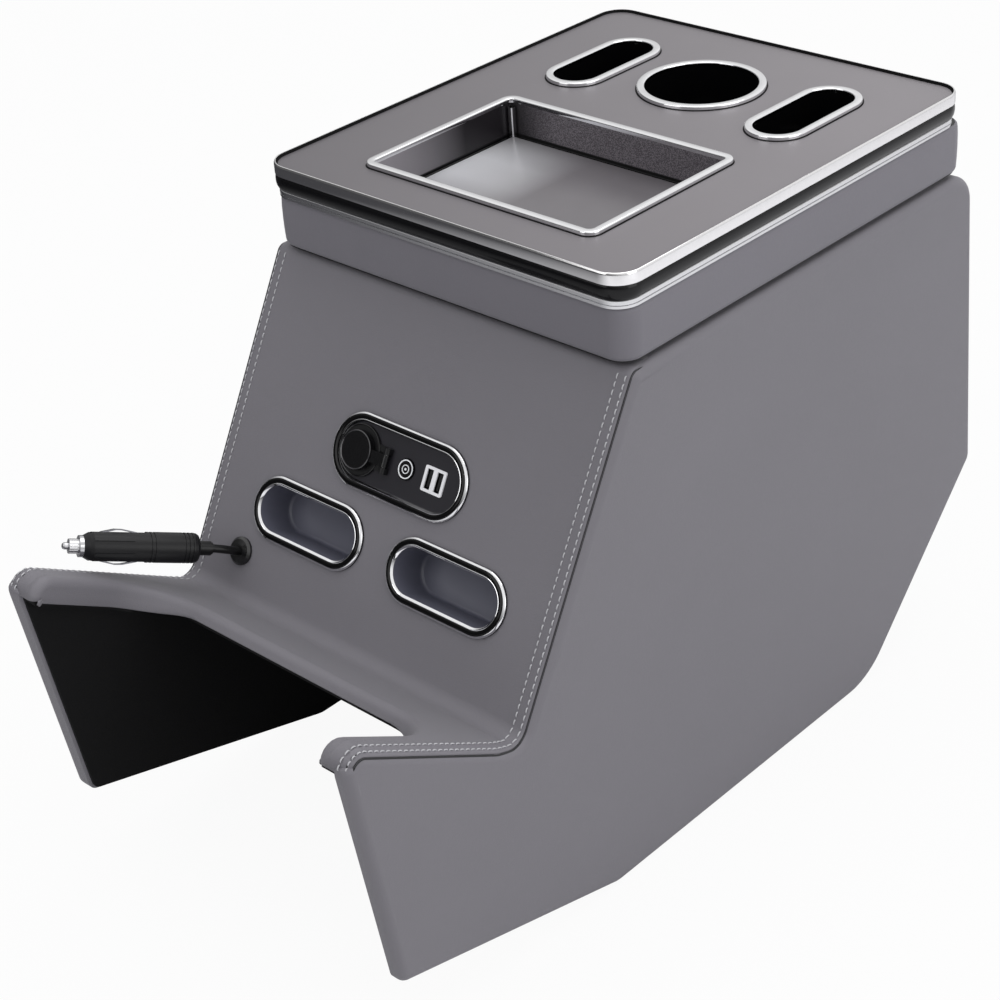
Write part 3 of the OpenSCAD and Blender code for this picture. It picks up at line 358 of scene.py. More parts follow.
class Parts:
    """Collects several grids into one mesh."""

    def __init__(self):
        self.verts = []
        self.faces = []
        self.mats = []
        self.count = 0

    def grid(self, P, wrap_rows=False, wrap_cols=False, keep=None):
        rows, cols = P.shape[:2]
        q = grid_faces(rows, cols, wrap_rows, wrap_cols, self.count)
        if keep is not None:
            q = q[keep.reshape(-1)]
        self.faces += q.tolist()
        self.mats += [0] * len(q)
        self.verts.append(P.reshape(-1, 3))
        self.count += rows * cols
        return self

    def cap(self, ring, flip=False, mat=0):
        n = len(ring)
        idx = list(range(self.count, self.count + n))
        self.faces.append(idx[::-1] if flip else idx)
        self.mats.append(mat)
        self.verts.append(ring)
        self.count += n
        return self

    def build(self, name, mats, body, sharp=38.0, merge=0.01):
        """The mesh, with doubles merged, faces outward and wide polygons cut into triangles."""
        obj = make(name, np.concatenate(self.verts), self.faces, mats, body, sharp, self.mats)
        bm = bmesh.new()
        bm.from_mesh(obj.data)
        bmesh.ops.remove_doubles(bm, verts=bm.verts, dist=merge * MM)
        bmesh.ops.recalc_face_normals(bm, faces=bm.faces)
        wide = [f for f in bm.faces if len(f.verts) > 24]
        bmesh.ops.triangulate(bm, faces=wide, ngon_method="EAR_CLIP")
        bm.to_mesh(obj.data)
        bm.free()
        obj.data.set_sharp_from_angle(angle=math.radians(sharp))
        return obj


def loop_path(w, l, r, steps=12):
    """Rounded rectangle, w by l with corner radius r: points, outward normals, anticlockwise."""
    r = min(r, w / 2 - 1e-4, l / 2 - 1e-4)
    a = np.linspace(0, math.pi / 2, steps + 1)
    quads = [(1, 1, 0), (-1, 1, 1), (-1, -1, 2), (1, -1, 3)]
    pts, nrm = [], []
    for sx, sy, k in quads:
        n = np.stack([np.cos(a + k * math.pi / 2), np.sin(a + k * math.pi / 2)], 1)
        pts.append(np.array([sx * (w / 2 - r), sy * (l / 2 - r)]) + r * n)
        nrm.append(n)
    return np.concatenate(pts), np.concatenate(nrm)


def loop_grid(w, l, r, profile, centre, place, steps=12):
    """Profile of (outward offset, height) pairs carried round a rounded rectangle."""
    p, n = loop_path(w, l, r, steps)
    pr = np.asarray(profile, float)
    xy = p[None] + n[None] * pr[:, 0][:, None, None] + np.asarray(centre)[None, None]
    z = np.broadcast_to(pr[:, 1][:, None, None], xy.shape[:2] + (1,))
    return place(np.concatenate([xy, z], -1).reshape(-1, 3)).reshape(xy.shape[0], xy.shape[1], 3)


def ring(name, w, l, r, profile, centre, place, mats, body, nodes=(), steps=12):
    """A closed frame: the closed profile runs round the rounded rectangle."""
    P = loop_grid(w, l, r, profile, centre, place, steps)
    obj = Parts().grid(P, wrap_rows=True, wrap_cols=True).build(name, mats, body)
    if nodes:
        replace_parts(obj, *nodes)
    return obj


def bin_shell(name, w, l, r, depth, top, wall, floor_r, centre, place, mats, body, nodes, steps=12):
    """An open bin: outside wall, lip, inside wall, a rounded foot and a flat floor."""
    foot = np.radians(np.linspace(0, 90, 6))
    inner = [(0, top)]
    inner += [(-floor_r * (1 - math.cos(a)), top - depth + floor_r * (1 - math.sin(a))) for a in foot]
    profile = [(wall, top - depth - wall), (wall, top)] + inner
    P = loop_grid(w, l, r, profile, centre, place, steps)
    parts = Parts().grid(P[:2], wrap_cols=True).grid(P[1:3], wrap_cols=True)
    parts.grid(P[2:], wrap_cols=True)
    parts.cap(P[-1], mat=len(mats) - 1)
    parts.cap(P[0], flip=True)
    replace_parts(parts.build(name, mats, body), *nodes)


def arc(cx, cy, r, a0, a1, n):
    """Profile points of an arc, angles in degrees."""
    a = np.radians(np.linspace(a0, a1, n + 1))
    return [(cx + r * math.cos(t), cy + r * math.sin(t)) for t in a]


# ---------------------------------------------------------------- side outline
def fillet(p, a, b, r, steps):
    """Arc of radius r that rounds the corner p between neighbours a and b: points and outward normals."""
    ua = (a - p) / np.linalg.norm(a - p)
    ub = (b - p) / np.linalg.norm(b - p)
    half = math.acos(np.clip(ua @ ub, -1, 1)) / 2
    mid = (ua + ub) / np.linalg.norm(ua + ub)
    c = p + mid * r / math.sin(half)
    s0 = p + ua * r / math.tan(half) - c
    s1 = p + ub * r / math.tan(half) - c
    cross = s0[0] * s1[1] - s0[1] * s1[0]
    t = np.linspace(0, math.copysign(math.pi - 2 * half, cross), steps + 1)
    pts = np.stack([s0[0] * np.cos(t) - s0[1] * np.sin(t), s0[0] * np.sin(t) + s0[1] * np.cos(t)], 1)
    return c + pts, pts / r * (1 if cross < 0 else -1)


def polyline(corners, closed, steps=12, gap=8.0):
    """Rounded path through the corners, clockwise, with outward normals."""
    pts, nrm = [], []
    n = len(corners)
    inner = range(n) if closed else range(1, n - 1)
    arcs = [fillet(corners[i][:2], corners[i - 1][:2], corners[(i + 1) % n][:2], corners[i][2], steps) for i in inner]
    heads = arcs
    if not closed:
        heads = [(corners[0][None, :2], arcs[0][1][:1])] + arcs + [(corners[-1][None, :2], arcs[-1][1][-1:])]
    for k, (p, m) in enumerate(heads):
        pts.append(p)
        nrm.append(m)
        if k + 1 < len(heads) or closed:
            q = heads[(k + 1) % len(heads)][0][0]
            d = np.linalg.norm(q - p[-1])
            cnt = max(1, int(d / gap))
            t = np.linspace(0, 1, cnt + 1)[1:-1, None]
            pts.append(p[-1] * (1 - t) + q * t)
            nrm.append(np.repeat(m[-1:], len(t), 0))
    return np.concatenate(pts), np.concatenate(nrm)


OUT_P, OUT_N = polyline(CORNERS, True)


def side(points_u, x, z):
    """Side-view points at x to the row frame."""
    return np.stack([np.broadcast_to(x, np.shape(points_u)), points_u + SHIFT, z], -1)


# Front path: over the front top edge, down the face, through the fold, up the shelf, round the nose
FRONT_U = 60.0
FRONT = np.array([[FRONT_U, BODY_TOP, 0], CORNERS[0], CORNERS[7], CORNERS[6],
                  [CORNERS[5][0], CORNERS[5][1], 0]])
FP, _ = polyline(FRONT, False, steps=16, gap=2.5)
# Normals from the tangents
T = np.gradient(FP, axis=0)
T /= np.linalg.norm(T, axis=1)[:, None]
FN = np.stack([T[:, 1], -T[:, 0]], 1)
FQ = np.concatenate([[0], np.cumsum(np.linalg.norm(np.diff(FP, axis=0), axis=1))])


def path_at(q):
    """Point and outward normal of the front path at distance q."""
    p = np.stack([np.interp(q, FQ, FP[:, i]) for i in (0, 1)], -1)
    n = np.stack([np.interp(q, FQ, FN[:, i]) for i in (0, 1)], -1)
    n /= np.linalg.norm(n, axis=-1, keepdims=True)
    return p, n


def cut_len(i, r):
    """Length that rounding corner i by r takes off each leg, and the length of the arc."""
    p, a, b = CORNERS[i][:2], CORNERS[(i - 1) % 8][:2], CORNERS[(i + 1) % 8][:2]
    ua, ub = (a - p) / np.linalg.norm(a - p), (b - p) / np.linalg.norm(b - p)
    half = math.acos(ua @ ub) / 2
    return r / math.tan(half), r * (math.pi - 2 * half)


T1, A1 = cut_len(0, EDGE_R)
T8, A8 = cut_len(7, FOLD_R)
T7, _ = cut_len(6, NOSE_R)
# Distances along the front path: start of the skin, face, fold, shelf, nose, end under the nose
Q_FACE = FRONT_U - EDGE_U - T1 + A1
Q_FOLD = Q_FACE + FACE_L - T1 - T8
Q_SHELF = Q_FOLD + A8
Q_NOSE = Q_SHELF + SHELF_L - T8 - T7
Q_END = Q_NOSE + NOSE_R * math.radians(111)
Q_START = FRONT_U - EDGE_U - T1 - 14


def over(x, q, h):
    """Point at x across, distance q along the front path and height h off it."""
    p, n = path_at(q)
    return side(p[..., 0] + n[..., 0] * h, x, p[..., 1] + n[..., 1] * h)


def smooth(t):
    """Smoothstep of t, clamped to 0..1."""
    t = np.clip(t, 0, 1)
    return t * t * (3 - 2 * t)


def on_wing(q):
    """0 on the face, rising to 1 over the first 30 mm past the fold."""
    return smooth((q - Q_FOLD) / 30)


def edge_radius(q):
    """Radius of the rolled outer edge: small on the face, larger on the wings."""
    return 7.5 + 1.8 * on_wing(q)


def seam_turn(q):
    """Angle round the rolled edge at which the seam lies."""
    return 0.6 + 0.42 * on_wing(q)


# Where the flat of the front skin ends, and the outside of each side skin
FLAT_X = 136.0
SKIN_X = {-1: 156.5, 1: 151.8}


def edge_point(w, q, s):
    """Across position and height at arc distance w past FLAT_X, over the rolled outer edge."""
    r = edge_radius(q)
    flat = SKIN_X[s] - r - FLAT_X
    a = np.clip((w - flat) / r, 0, math.pi / 2)
    x = np.where(w < flat, FLAT_X + w, SKIN_X[s] - r + r * np.sin(a))
    return x, np.where(w < flat, 0, -r * (1 - np.cos(a)))


def seam_w(q, s):
    """Arc distance past FLAT_X at which the seam lies."""
    return SKIN_X[s] - edge_radius(q) - FLAT_X + edge_radius(q) * seam_turn(q)


# ---------------------------------------------------------------- leather body
def stadium_gap(x, y, cx, cy, l, h):
    """Signed distance from a stadium l by h about (cx, cy)."""
    return np.hypot(np.maximum(np.abs(x - cx) - (l - h) / 2, 0), y - cy) - h / 2


# Heights on the face, then the notch: half width, corner radius, start, rolled edge, wall depths
PANEL_V = 0.5453 * FACE_L
POCKET_X = 61.5
POCKET_V = 0.2953 * FACE_L
PANEL_SIZE = (103, 36.6)
POCKET_SIZE = (86.6, 30.8)
HOLE_MORE = 6.0
NOTCH_X = HALF_W - 23.0
NOTCH_R = 38.0
NOTCH_Y = 49.5
ROLL = 5.5
WALL_MID = 9.6
WALL_WING = 16.4


def notch_path(grow, n_side, n_arc, n_mid):
    """Edge of the notch in developed shelf coordinates (x, q) with its direction into the notch."""
    w, r, y0 = NOTCH_X + grow, NOTCH_R + grow, NOTCH_Y - grow
    q0 = Q_SHELF - T8
    a = np.linspace(0, math.pi / 2, n_arc + 1)
    left = np.stack([np.full(n_side, -w), np.linspace(Q_END, q0 + y0 + r, n_side + 1)[:-1]], 1)
    left_n = np.repeat([[1.0, 0.0]], n_side, 0)
    al = np.stack([-(w - r) - r * np.cos(a), q0 + y0 + r - r * np.sin(a)], 1)
    al_n = np.stack([np.cos(a), np.sin(a)], 1)
    mid = np.stack([np.linspace(-(w - r), w - r, n_mid + 1)[1:-1], np.full(n_mid - 1, q0 + y0)], 1)
    mid_n = np.repeat([[0.0, 1.0]], n_mid - 1, 0)
    half_p = np.concatenate([left, al])
    half_n = np.concatenate([left_n, al_n])
    p = np.concatenate([half_p, mid, (half_p * [-1, 1])[::-1]])
    n = np.concatenate([half_n, mid_n, (half_n * [-1, 1])[::-1]])
    return p, n


def front_leather():
    """Face, fold, shelf and wings as one skin: grids in (across, along) laid on the front path."""
    parts = Parts()
    q_rows = np.concatenate([
        np.linspace(Q_START, Q_FACE - A1, 4)[:-1], np.linspace(Q_FACE - A1, Q_FACE, 7)[:-1],
        np.linspace(Q_FACE, Q_FOLD, 74)[:-1], np.linspace(Q_FOLD, Q_SHELF, 13)])
    n_cols = 90
    xs = np.linspace(-FLAT_X, FLAT_X, n_cols + 1)
    X, Q = np.meshgrid(xs, q_rows)
    v = FACE_L - T1 - (Q - Q_FACE)
    P = over(X, Q, np.zeros_like(X))
    xc = (X[1:, 1:] + X[:-1, :-1]) / 2
    vc = (v[1:, 1:] + v[:-1, :-1]) / 2
    qc = (Q[1:, 1:] + Q[:-1, :-1]) / 2
    on = (qc > Q_FACE) & (qc < Q_FOLD)
    gone = np.zeros_like(on)
    for cx, cy, (l, h) in ((0, PANEL_V, PANEL_SIZE), (-POCKET_X, POCKET_V, POCKET_SIZE),
                           (POCKET_X, POCKET_V, POCKET_SIZE)):
        gone |= on & (stadium_gap(xc, vc, cx, cy, l + HOLE_MORE, h + HOLE_MORE) < 0)
    gone |= on & (np.hypot(xc - GROMMET[0], vc - GROMMET[1]) < 5)
    parts.grid(P, keep=~gone)
    # shelf and wings: ruled from the fold and the outer flats to the rolled edge of the notch
    n_side, n_arc, n_mid = 18, 14, n_cols - 2 * 16
    inner, inner_n = notch_path(ROLL, n_side, n_arc, n_mid)
    total = len(inner)
    n_out = (total - (n_cols + 1)) // 2
    q_side = np.linspace(Q_END, Q_SHELF, n_out + 1)[:-1]
    outer_l = np.stack([np.full(n_out, -FLAT_X), q_side], 1)
    outer = np.concatenate([outer_l, np.stack([xs, np.full(n_cols + 1, Q_SHELF)], 1), (outer_l * [-1, 1])[::-1]])
    if len(outer) != total:
        raise RuntimeError("shelf grid: %d and %d points" % (len(outer), total))
    t = np.linspace(0, 1, 9)[:, None, None]
    G = outer[None] * (1 - t) + inner[None] * t
    parts.grid(over(G[..., 0], G[..., 1], 0.0 * G[..., 0]))
    roll = np.radians(np.linspace(0, 90, 8))
    deep = WALL_MID + (WALL_WING - WALL_MID) * smooth(np.abs(inner_n[:, 0]))
    out = np.array([ROLL * math.sin(a) for a in roll] + [ROLL] * 4)
    down = np.array([ROLL * (1 - math.cos(a)) for a in roll] + [ROLL] * 4)
    R = inner[None] + inner_n[None] * out[:, None, None]
    # the last two rows are tucked back under the roll, less so towards the ends
    ends = 0.25 + 0.75 * smooth((Q_END - 2 - inner[:, 1]) / 14)
    for row, tuck in ((-2, 0.5), (-1, 2.2)):
        R[row] = inner + inner_n * (ROLL - tuck * ends[:, None])
    wall = over(R[..., 0], R[..., 1], np.broadcast_to(-down[:, None], R.shape[:2]))
    # lower rows dropped square to the shelf, down to the wall's depth
    top, up = path_at(np.array([Q_NOSE - 5.0]))
    up = np.array([0, up[0, 0], up[0, 1]])
    below = -(wall[-4] - side(top[:, 0], 0.0, top[:, 1])) @ up
    rest = np.maximum(deep - below, 0)[:, None] * up[None]
    for row, share, more in ((-4, 0.5, 0), (-3, 0.9, 0), (-2, 1.0, 0), (-1, 1.0, 0.6)):
        wall[row] -= rest * share + more * up * ends[:, None]
    parts.grid(wall)
    # rolled outer edges down to the seam
    q_edge = np.concatenate([q_rows[:-1], np.linspace(Q_SHELF, Q_END, n_out + 1)])
    k = np.linspace(0, 1, 13)
    for s in (-1, 1):
        W = seam_w(q_edge, s)[:, None] * k[None]
        x, h = edge_point(W, q_edge[:, None], s)
        tuck = 1.3 * np.clip((k - 0.9) / 0.1, 0, 1) ** 2
        parts.grid(over(s * x, np.broadcast_to(q_edge[:, None], x.shape), h - tuck[None]))
    obj = parts.build("front_leather", [LEATHER], "body", sharp=50, merge=0.02)
    wall = obj.modifiers.new("skin", "SOLIDIFY")
    wall.thickness = 1.9 * MM
    wall.offset = -1
    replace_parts(obj, "front_cover")


def outline_radius_and_start():
    """Rolled-edge radius and start angle at each outline point: along the front path they follow the seam."""
    dense = np.linspace(0, FQ[-1], int(FQ[-1] * 8))
    d = np.linalg.norm(OUT_P[:, None] - path_at(dense)[0][None], axis=2)
    q = dense[d.argmin(1)]
    near = (d.min(1) < 0.6) & (q > Q_START + 2) & (q < Q_END - 1)
    front = smooth((q - Q_START) / 12) * smooth((Q_END - q) / 8) * near
    r = np.where(near, edge_radius(q), 6.0)
    r = 6.0 + (r - 6.0) * front
    a = seam_turn(q) * front * near
    return r, a, front


def side_leather(s):
    """Side skin: rings round the outline, from the inner lip over the rolled edge to the flat side."""
    r, a0, front = outline_radius_and_start()
    m = len(OUT_P)
    rings = []

    def add(x, inset):
        p = OUT_P - OUT_N * np.broadcast_to(inset, (m,))[:, None]
        rings.append(side(p[:, 0], s * np.broadcast_to(x, (m,)), p[:, 1]))

    x_edge = SKIN_X[s] - r + r * np.sin(a0)
    inset_edge = r * (1 - np.cos(a0))
    lip = 141.0
    x_lip = lip + (x_edge - lip) * front
    add(x_lip, inset_edge + 3.0)
    add(x_lip, inset_edge + 1.2)
    add(x_lip + 0.5 * (x_edge - x_lip + 1) * (1 - front) * 0.2, inset_edge + 0.35 * front)
    add(x_lip + 1.0 * (1 - front) + 0.35 * front, inset_edge + 0.02)
    for t in np.linspace(0, 1, 9):
        a = a0 + (math.pi / 2 - a0) * t
        add(SKIN_X[s] - r + r * np.sin(a), r * (1 - np.cos(a)))
    add(SKIN_X[s], r + 0.9)
    P = np.stack(rings)
    parts = Parts().grid(P, wrap_cols=True)
    parts.cap(P[-1])
    parts.cap(P[0], flip=True)
    name = ("left" if s < 0 else "right") + "_side_leather"
    obj = parts.build(name, [LEATHER], "body", sharp=50, merge=0.002)
    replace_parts(obj, name.replace("leather", "cover"))


front_leather()
side_leather(-1)
side_leather(1)


def stitch_rows():
    """Two rows of short raised stitches along each rolled edge, sunk a little on the left wing's skyline."""
    pitch, length, radius = 5.0, 3.7, 0.5
    for s, side_name in ((-1, "left"), (1, "right")):
        q = np.arange(Q_FACE + 1, Q_END - 3, pitch)
        parts = Parts()
        wing = on_wing(q)
        skyline = wing if s < 0 else 0.0 * wing
        for back in (3.0 + 0.3 * wing, 9.0 - 1.0 * wing):
            w = seam_w(q, s) - back - 2.4 * skyline
            t = np.linspace(-0.5, 0.5, 7)
            a = np.linspace(0, 2 * math.pi, 6, endpoint=False)
            qq = q[:, None] + t[None] * length
            x, h = edge_point(np.broadcast_to(w[:, None], qq.shape), qq, s)
            lift = 0.42 - 0.75 * (2 * np.abs(t)) ** 4
            fat = radius * np.sqrt(np.clip(1 - (1.9 * t) ** 8, 0.02, 1))
            X = x[..., None] + fat[None, :, None] * np.cos(a)
            H = h[..., None] + lift[None, :, None] - 0.5 * skyline[:, None, None]
            H = H + fat[None, :, None] * np.sin(a) * 0.8
            P = over(s * X, np.broadcast_to(qq[..., None], X.shape), H)
            for i in range(len(q)):
                parts.grid(P[i], wrap_cols=True)
        obj = parts.build(side_name + "_edge_stitches", [THREAD], "body", sharp=60, merge=0.0001)


stitch_rows()


def seam_shadow_tubes():
    """A thin dark tube in the groove under each seam, standing in for the groove's shade: a painted shadow."""
    back, lift, radius = 0.1, -0.75, 0.8
    for s, side_name in ((-1, "left"), (1, "right")):
        q = np.linspace(Q_START + 4, Q_END - 1, 220)
        a = np.linspace(0, 2 * math.pi, 8, endpoint=False)
        x, h = edge_point(seam_w(q, s) - back, q, s)
        X = x[:, None] + radius * np.cos(a)[None]
        H = h[:, None] + lift + radius * np.sin(a)[None]
        P = over(s * X, np.broadcast_to(q[:, None], X.shape), H)
        parts = Parts().grid(P, wrap_cols=True).cap(P[0], flip=True).cap(P[-1])
        parts.build(side_name + "_seam_shadow", [SEAM_DARK], "body", sharp=60)


seam_shadow_tubes()


def rear_leather():
    """Rear skin between the side skins: the outline from the top back to the foot, one grid."""
    path = np.array([[300, BODY_TOP, 0], CORNERS[1], CORNERS[2], CORNERS[3] * [1, 1, 0.9], [200, 0, 0]])
    p, n = polyline(path, False, steps=14, gap=6)
    keep = (p[:, 0] > 338) & (p[:, 1] > 14) | (p[:, 0] > 346)
    p, n = p[keep], n[keep]
    x = np.linspace(-141, 141, 95)
    X = np.broadcast_to(x[None], (len(p), len(x)))
    tuck = 0.9 * np.clip((np.abs(X) - 138) / 3, 0, 1) ** 2
    U = p[:, 0][:, None] - n[:, 0][:, None] * tuck
    Z = p[:, 1][:, None] - n[:, 1][:, None] * tuck
    obj = Parts().grid(side(U, X, Z)).build("rear_leather", [LEATHER], "body", sharp=50)
    wall = obj.modifiers.new("skin", "SOLIDIFY")
    wall.thickness = 1.9 * MM
    wall.offset = -1
    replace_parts(obj, "rear_cover")


rear_leather()

# ---------------------------------------------------------------- lid
# Heights of the lid's layers, from the foot of its skin to the deck
DECK_C = (0, DECK_L / 2)
LID_Z = BODY_TOP + 3
SHOULDER = LID_Z + 35
BAND_Z = SHOULDER + 5.5
UPPER_Z = BAND_Z + 10
DECK_Z = UPPER_Z + 7
PLATE_Z = DECK_Z - 0.8


def lid_leather():
    """Lid skin: a gently bowed wall with a rolled foot, carried round the lid box."""
    z0, z1 = LID_Z, SHOULDER
    prof = [(-14, z0 + 0.05), (-6, z0 + 0.0)]
    prof += [(-4.5 + 4.5 * math.sin(a), z0 + 4.5 * (1 - math.cos(a))) for a in np.radians(np.linspace(0, 90, 8))]
    prof += [(0.25, z0 + 11), (0.35, (z0 + z1) / 2), (0.2, z1 - 8), (-0.1, z1 - 3.2)]
    prof += [(-0.5, z1 - 1.2), (-1.4, z1 - 0.25), (-3, z1 - 0.02)]
    w, l = 298.0, 352.5
    P = loop_grid(w, l, 15.0, prof, (0, 3.5 + l / 2), on_deck, 16)
    obj = Parts().grid(P, wrap_cols=True).build("lid_leather", [LID_LEATHER], "lid", sharp=50)
    wall = obj.modifiers.new("skin", "SOLIDIFY")
    wall.thickness = 1.2 * MM
    wall.offset = -1
    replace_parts(obj, "lid_cover")


lid_leather()

ring("lower_frame", 300, DECK_L, 18, [
    (-10, SHOULDER), (-2.2, SHOULDER), (-1.8, SHOULDER + 0.4), (-1.8, SHOULDER + 2.1), (-2.4, SHOULDER + 2.3),
    (-2.4, SHOULDER + 2.7), (-1.8, SHOULDER + 2.9), (-1.8, BAND_Z - 0.5), (-2.3, BAND_Z), (-10, BAND_Z)],
    DECK_C, on_deck, [LOWER_METAL], "lid", ["lid_lower_frame"])
ring("black_band", 300, DECK_L, 18,
     [(-10, BAND_Z), (-1.9, BAND_Z), (-1.5, BAND_Z + 0.4), (-0.9, BAND_Z + 1.5), (-0.3, BAND_Z + 3), (0, BAND_Z + 5),
      (0, BAND_Z + 7), (-0.3, BAND_Z + 9), (-0.7, BAND_Z + 9.8), (-1.2, BAND_Z + 10), (-10, BAND_Z + 10)],
     DECK_C, on_deck, [BAND_GLOSS], "lid", ["lid_band"])
ring("upper_frame", 300, DECK_L, 18, [
    (-10, UPPER_Z), (-0.6, UPPER_Z), (0, UPPER_Z + 0.5), (0, DECK_Z - 0.6), (-0.2, DECK_Z + 0.35),
    (-0.6, DECK_Z + 1.05), (-1.0, DECK_Z + 1.2), (-1.3, DECK_Z + 1.1), (-1.35, DECK_Z - 0.25),
    (-2.5, PLATE_Z - 3), (-10, PLATE_Z - 3)],
    DECK_C, on_deck, [FRAME_METAL], "lid", ["lid_upper_frame"])

# black for the rings round the foot of each rim, which are painted shadow, and for the deck edge line
LINE_BLACK = plastic("edge_line_black", (8, 8, 9), 0.6, **{"Specular IOR Level": 0.1})
line = ring("deck_edge_line", 300, DECK_L, 18, [(-2.5, PLATE_Z - 0.3), (-1.35, PLATE_Z - 0.3), (-1.35, DECK_Z + 1.0),
            (-1.55, DECK_Z + 1.0), (-2.4, PLATE_Z + 0.1)], DECK_C, on_deck, [LINE_BLACK], "lid")
RIM_W, RIM_H = 5.5, 3.0
# Openings in the deck: centre, then width, length and corner radius, then depth
TRAY_C, TRAY, TRAY_DEPTH = (2.5, 104.5), (182, 130, 3.5), 24
CUP_C, CUP, CUP_DEPTH = (1.0, DECK_L - 90.5), (76.5, 76.5, 38.25), 48
SLOT, SLOT_DEPTH = (33, 88, 16.5), 30


def rim_shadow_line(name, size, centre, steps=12):
    """Thin black ring round the foot of a rim, standing in for the shadow gap under it: a painted shadow that shows as
    a dark line.
    """
    section = [(RIM_W - 0.4, PLATE_Z - 0.2), (RIM_W + 0.75, PLATE_Z - 0.2), (RIM_W + 0.75, PLATE_Z + 0.2),
               (RIM_W + 0.5, PLATE_Z + 0.45), (RIM_W - 0.4, PLATE_Z + 0.45)]
    ring(name, *size, section, centre, on_deck, [LINE_BLACK], "lid", steps=steps)


def rim(name, size, centre, node, steps=12):
    """Chrome rim: outer wall, rounded shoulders and a flat top."""
    e, shoulder = 0.9, PLATE_Z + RIM_H - 0.9
    section = [(0, PLATE_Z), (RIM_W, PLATE_Z)] + arc(RIM_W - e, shoulder, e, 0, 90, 4) + arc(e, shoulder, e, 90, 180, 4)
    ring(name, *size, section, centre, on_deck, [CHROME], "lid", [node], steps=steps)


rim("tray_chrome", TRAY, TRAY_C, "tray_rim")
rim("cup_chrome", CUP, CUP_C, "cup_rim", 24)
rim_shadow_line("tray_rim_line", TRAY, TRAY_C)
rim_shadow_line("cup_rim_line", CUP, CUP_C, 24)
for s, tag in ((-1, "left"), (1, "right")):
    c = (s * 85 + 2.5, DECK_L - 93.5)
    rim_shadow_line(tag + "_slot_rim_line", SLOT, c, 16)
    rim(tag + "_slot_chrome", SLOT, c, tag + "_slot_rim", 16)
    bin_shell(tag + "_slot_well", *SLOT, SLOT_DEPTH, PLATE_Z, 1.5, 3, c, on_deck, [GLOSS], "lid",
              [tag + "_slot_bin"], steps=16)
bin_shell("cup_well", *CUP, CUP_DEPTH, PLATE_Z, 1.5, 4, CUP_C, on_deck, [GLOSS], "lid", ["cup_bin"], steps=24)
TRAY_WALL = tray_wall_finish(PLATE_Z - TRAY_DEPTH)
bin_shell("tray_well", *TRAY, TRAY_DEPTH, PLATE_Z, 1.5, 0.6, TRAY_C, on_deck, [TRAY_WALL, GLOSS], "lid", ["tray_bin"])


def tray_floor():
    """Smooth floor panel of the tray, a little smaller than the well, so that a dark groove shows round it."""
    z = PLATE_Z - TRAY_DEPTH
    P = loop_grid(*TRAY, [(-3.0, z), (-3.0, z + 0.7), (-3.15, z + 0.85), (-3.4, z + 0.9)], TRAY_C, on_deck)
    panel = Parts().grid(P, wrap_cols=True).cap(P[-1]).cap(P[0], flip=True).build("tray_floor", [TRAY_FLOOR], "lid")
    corner = (TRAY_C[0] - TRAY[0] / 2 + 3.0, TRAY_C[1] + TRAY[1] / 2 - 3.0)
    trim = ring("tray_corner_trim", 3.4, 3.4, 0.6, [(0, z + 1), (0.4, z + 1), (0.4, PLATE_Z - 2), (0, PLATE_Z - 2)],
                corner, on_deck, [CHROME], "lid", steps=4)


tray_floor()

# ---------------------------------------------------------------- face fittings
OUTER_SECTION = [(0.5, 1.2), (2, 1.2), (2, 1.5), (1.7, 1.9), (1.2, 2.35), (0.6, 2.6), (0.5, 2.5)]
BEZEL_SECTION = [(0, -8), (2.8, -8), (2.8, 0), (4.8, 0), (4.8, 1.2), (3.5, 1.2), (3.5, 2.45), (3.1, 2.8), (1.8, 3.08),
                 (0.6, 2.98), (0, 2.7)]


def inner_section(z0):
    """Chrome edge inside a bezel, its face sloping down into the opening."""
    return [(0, z0), (1.7, z0), (1.7, 2.6), (1.3, 2.72), (0.6, 0.45 * z0 + 1.4), (0, z0 + 0.35)]


def opening_rings(tag, w, h, z0, centre):
    """Outer chrome, black bezel and inner chrome round an opening w by h in the face."""
    for name, node, more, section, mat in (
            ("outer_chrome", "outer_ring", 9, OUTER_SECTION, CHROME),
            ("surround", "bezel", 3.4, BEZEL_SECTION, GLOSS),
            ("inner_chrome", "inner_ring", 0, inner_section(z0), CHROME)):
        ring(tag + name, w + more, h + more, (h + more) / 2, section, centre, on_face, [mat], "body", [tag + node],
             steps=16)


for s, tag in ((-1, "left"), (1, "right")):
    c = (s * POCKET_X, POCKET_V)
    opening_rings(tag + "_pocket_", *POCKET_SIZE, 1.2, c)
    bin_shell(tag + "_pocket_well", *POCKET_SIZE, POCKET_SIZE[1] / 2, 27.2, 1.2, 1.5, 2.5, c, on_face, [BIN_GREY],
              "body", [tag + "_pocket_bin"], steps=16)
opening_rings("power_", *PANEL_SIZE, 0.5, (0, PANEL_V))


def bars(name, boxes, mats, body):
    """Small bevelled bars on the face: centre x, v, n and half sizes."""
    parts = Parts()
    bevel = 0.25
    for (x, v, n, a, b, h) in boxes:
        prof = [(0, -h), (0, h - bevel), (-0.3 * bevel, h - 0.3 * bevel), (-bevel, h)]
        P = loop_grid(2 * a, 2 * b, min(a, b) * 0.3, prof, (x, v), lambda q, n=n: on_face(q + np.array([0, 0, n])), 3)
        parts.grid(P, wrap_cols=True).cap(P[-1]).cap(P[0], flip=True)
    return parts.build(name, mats, body)


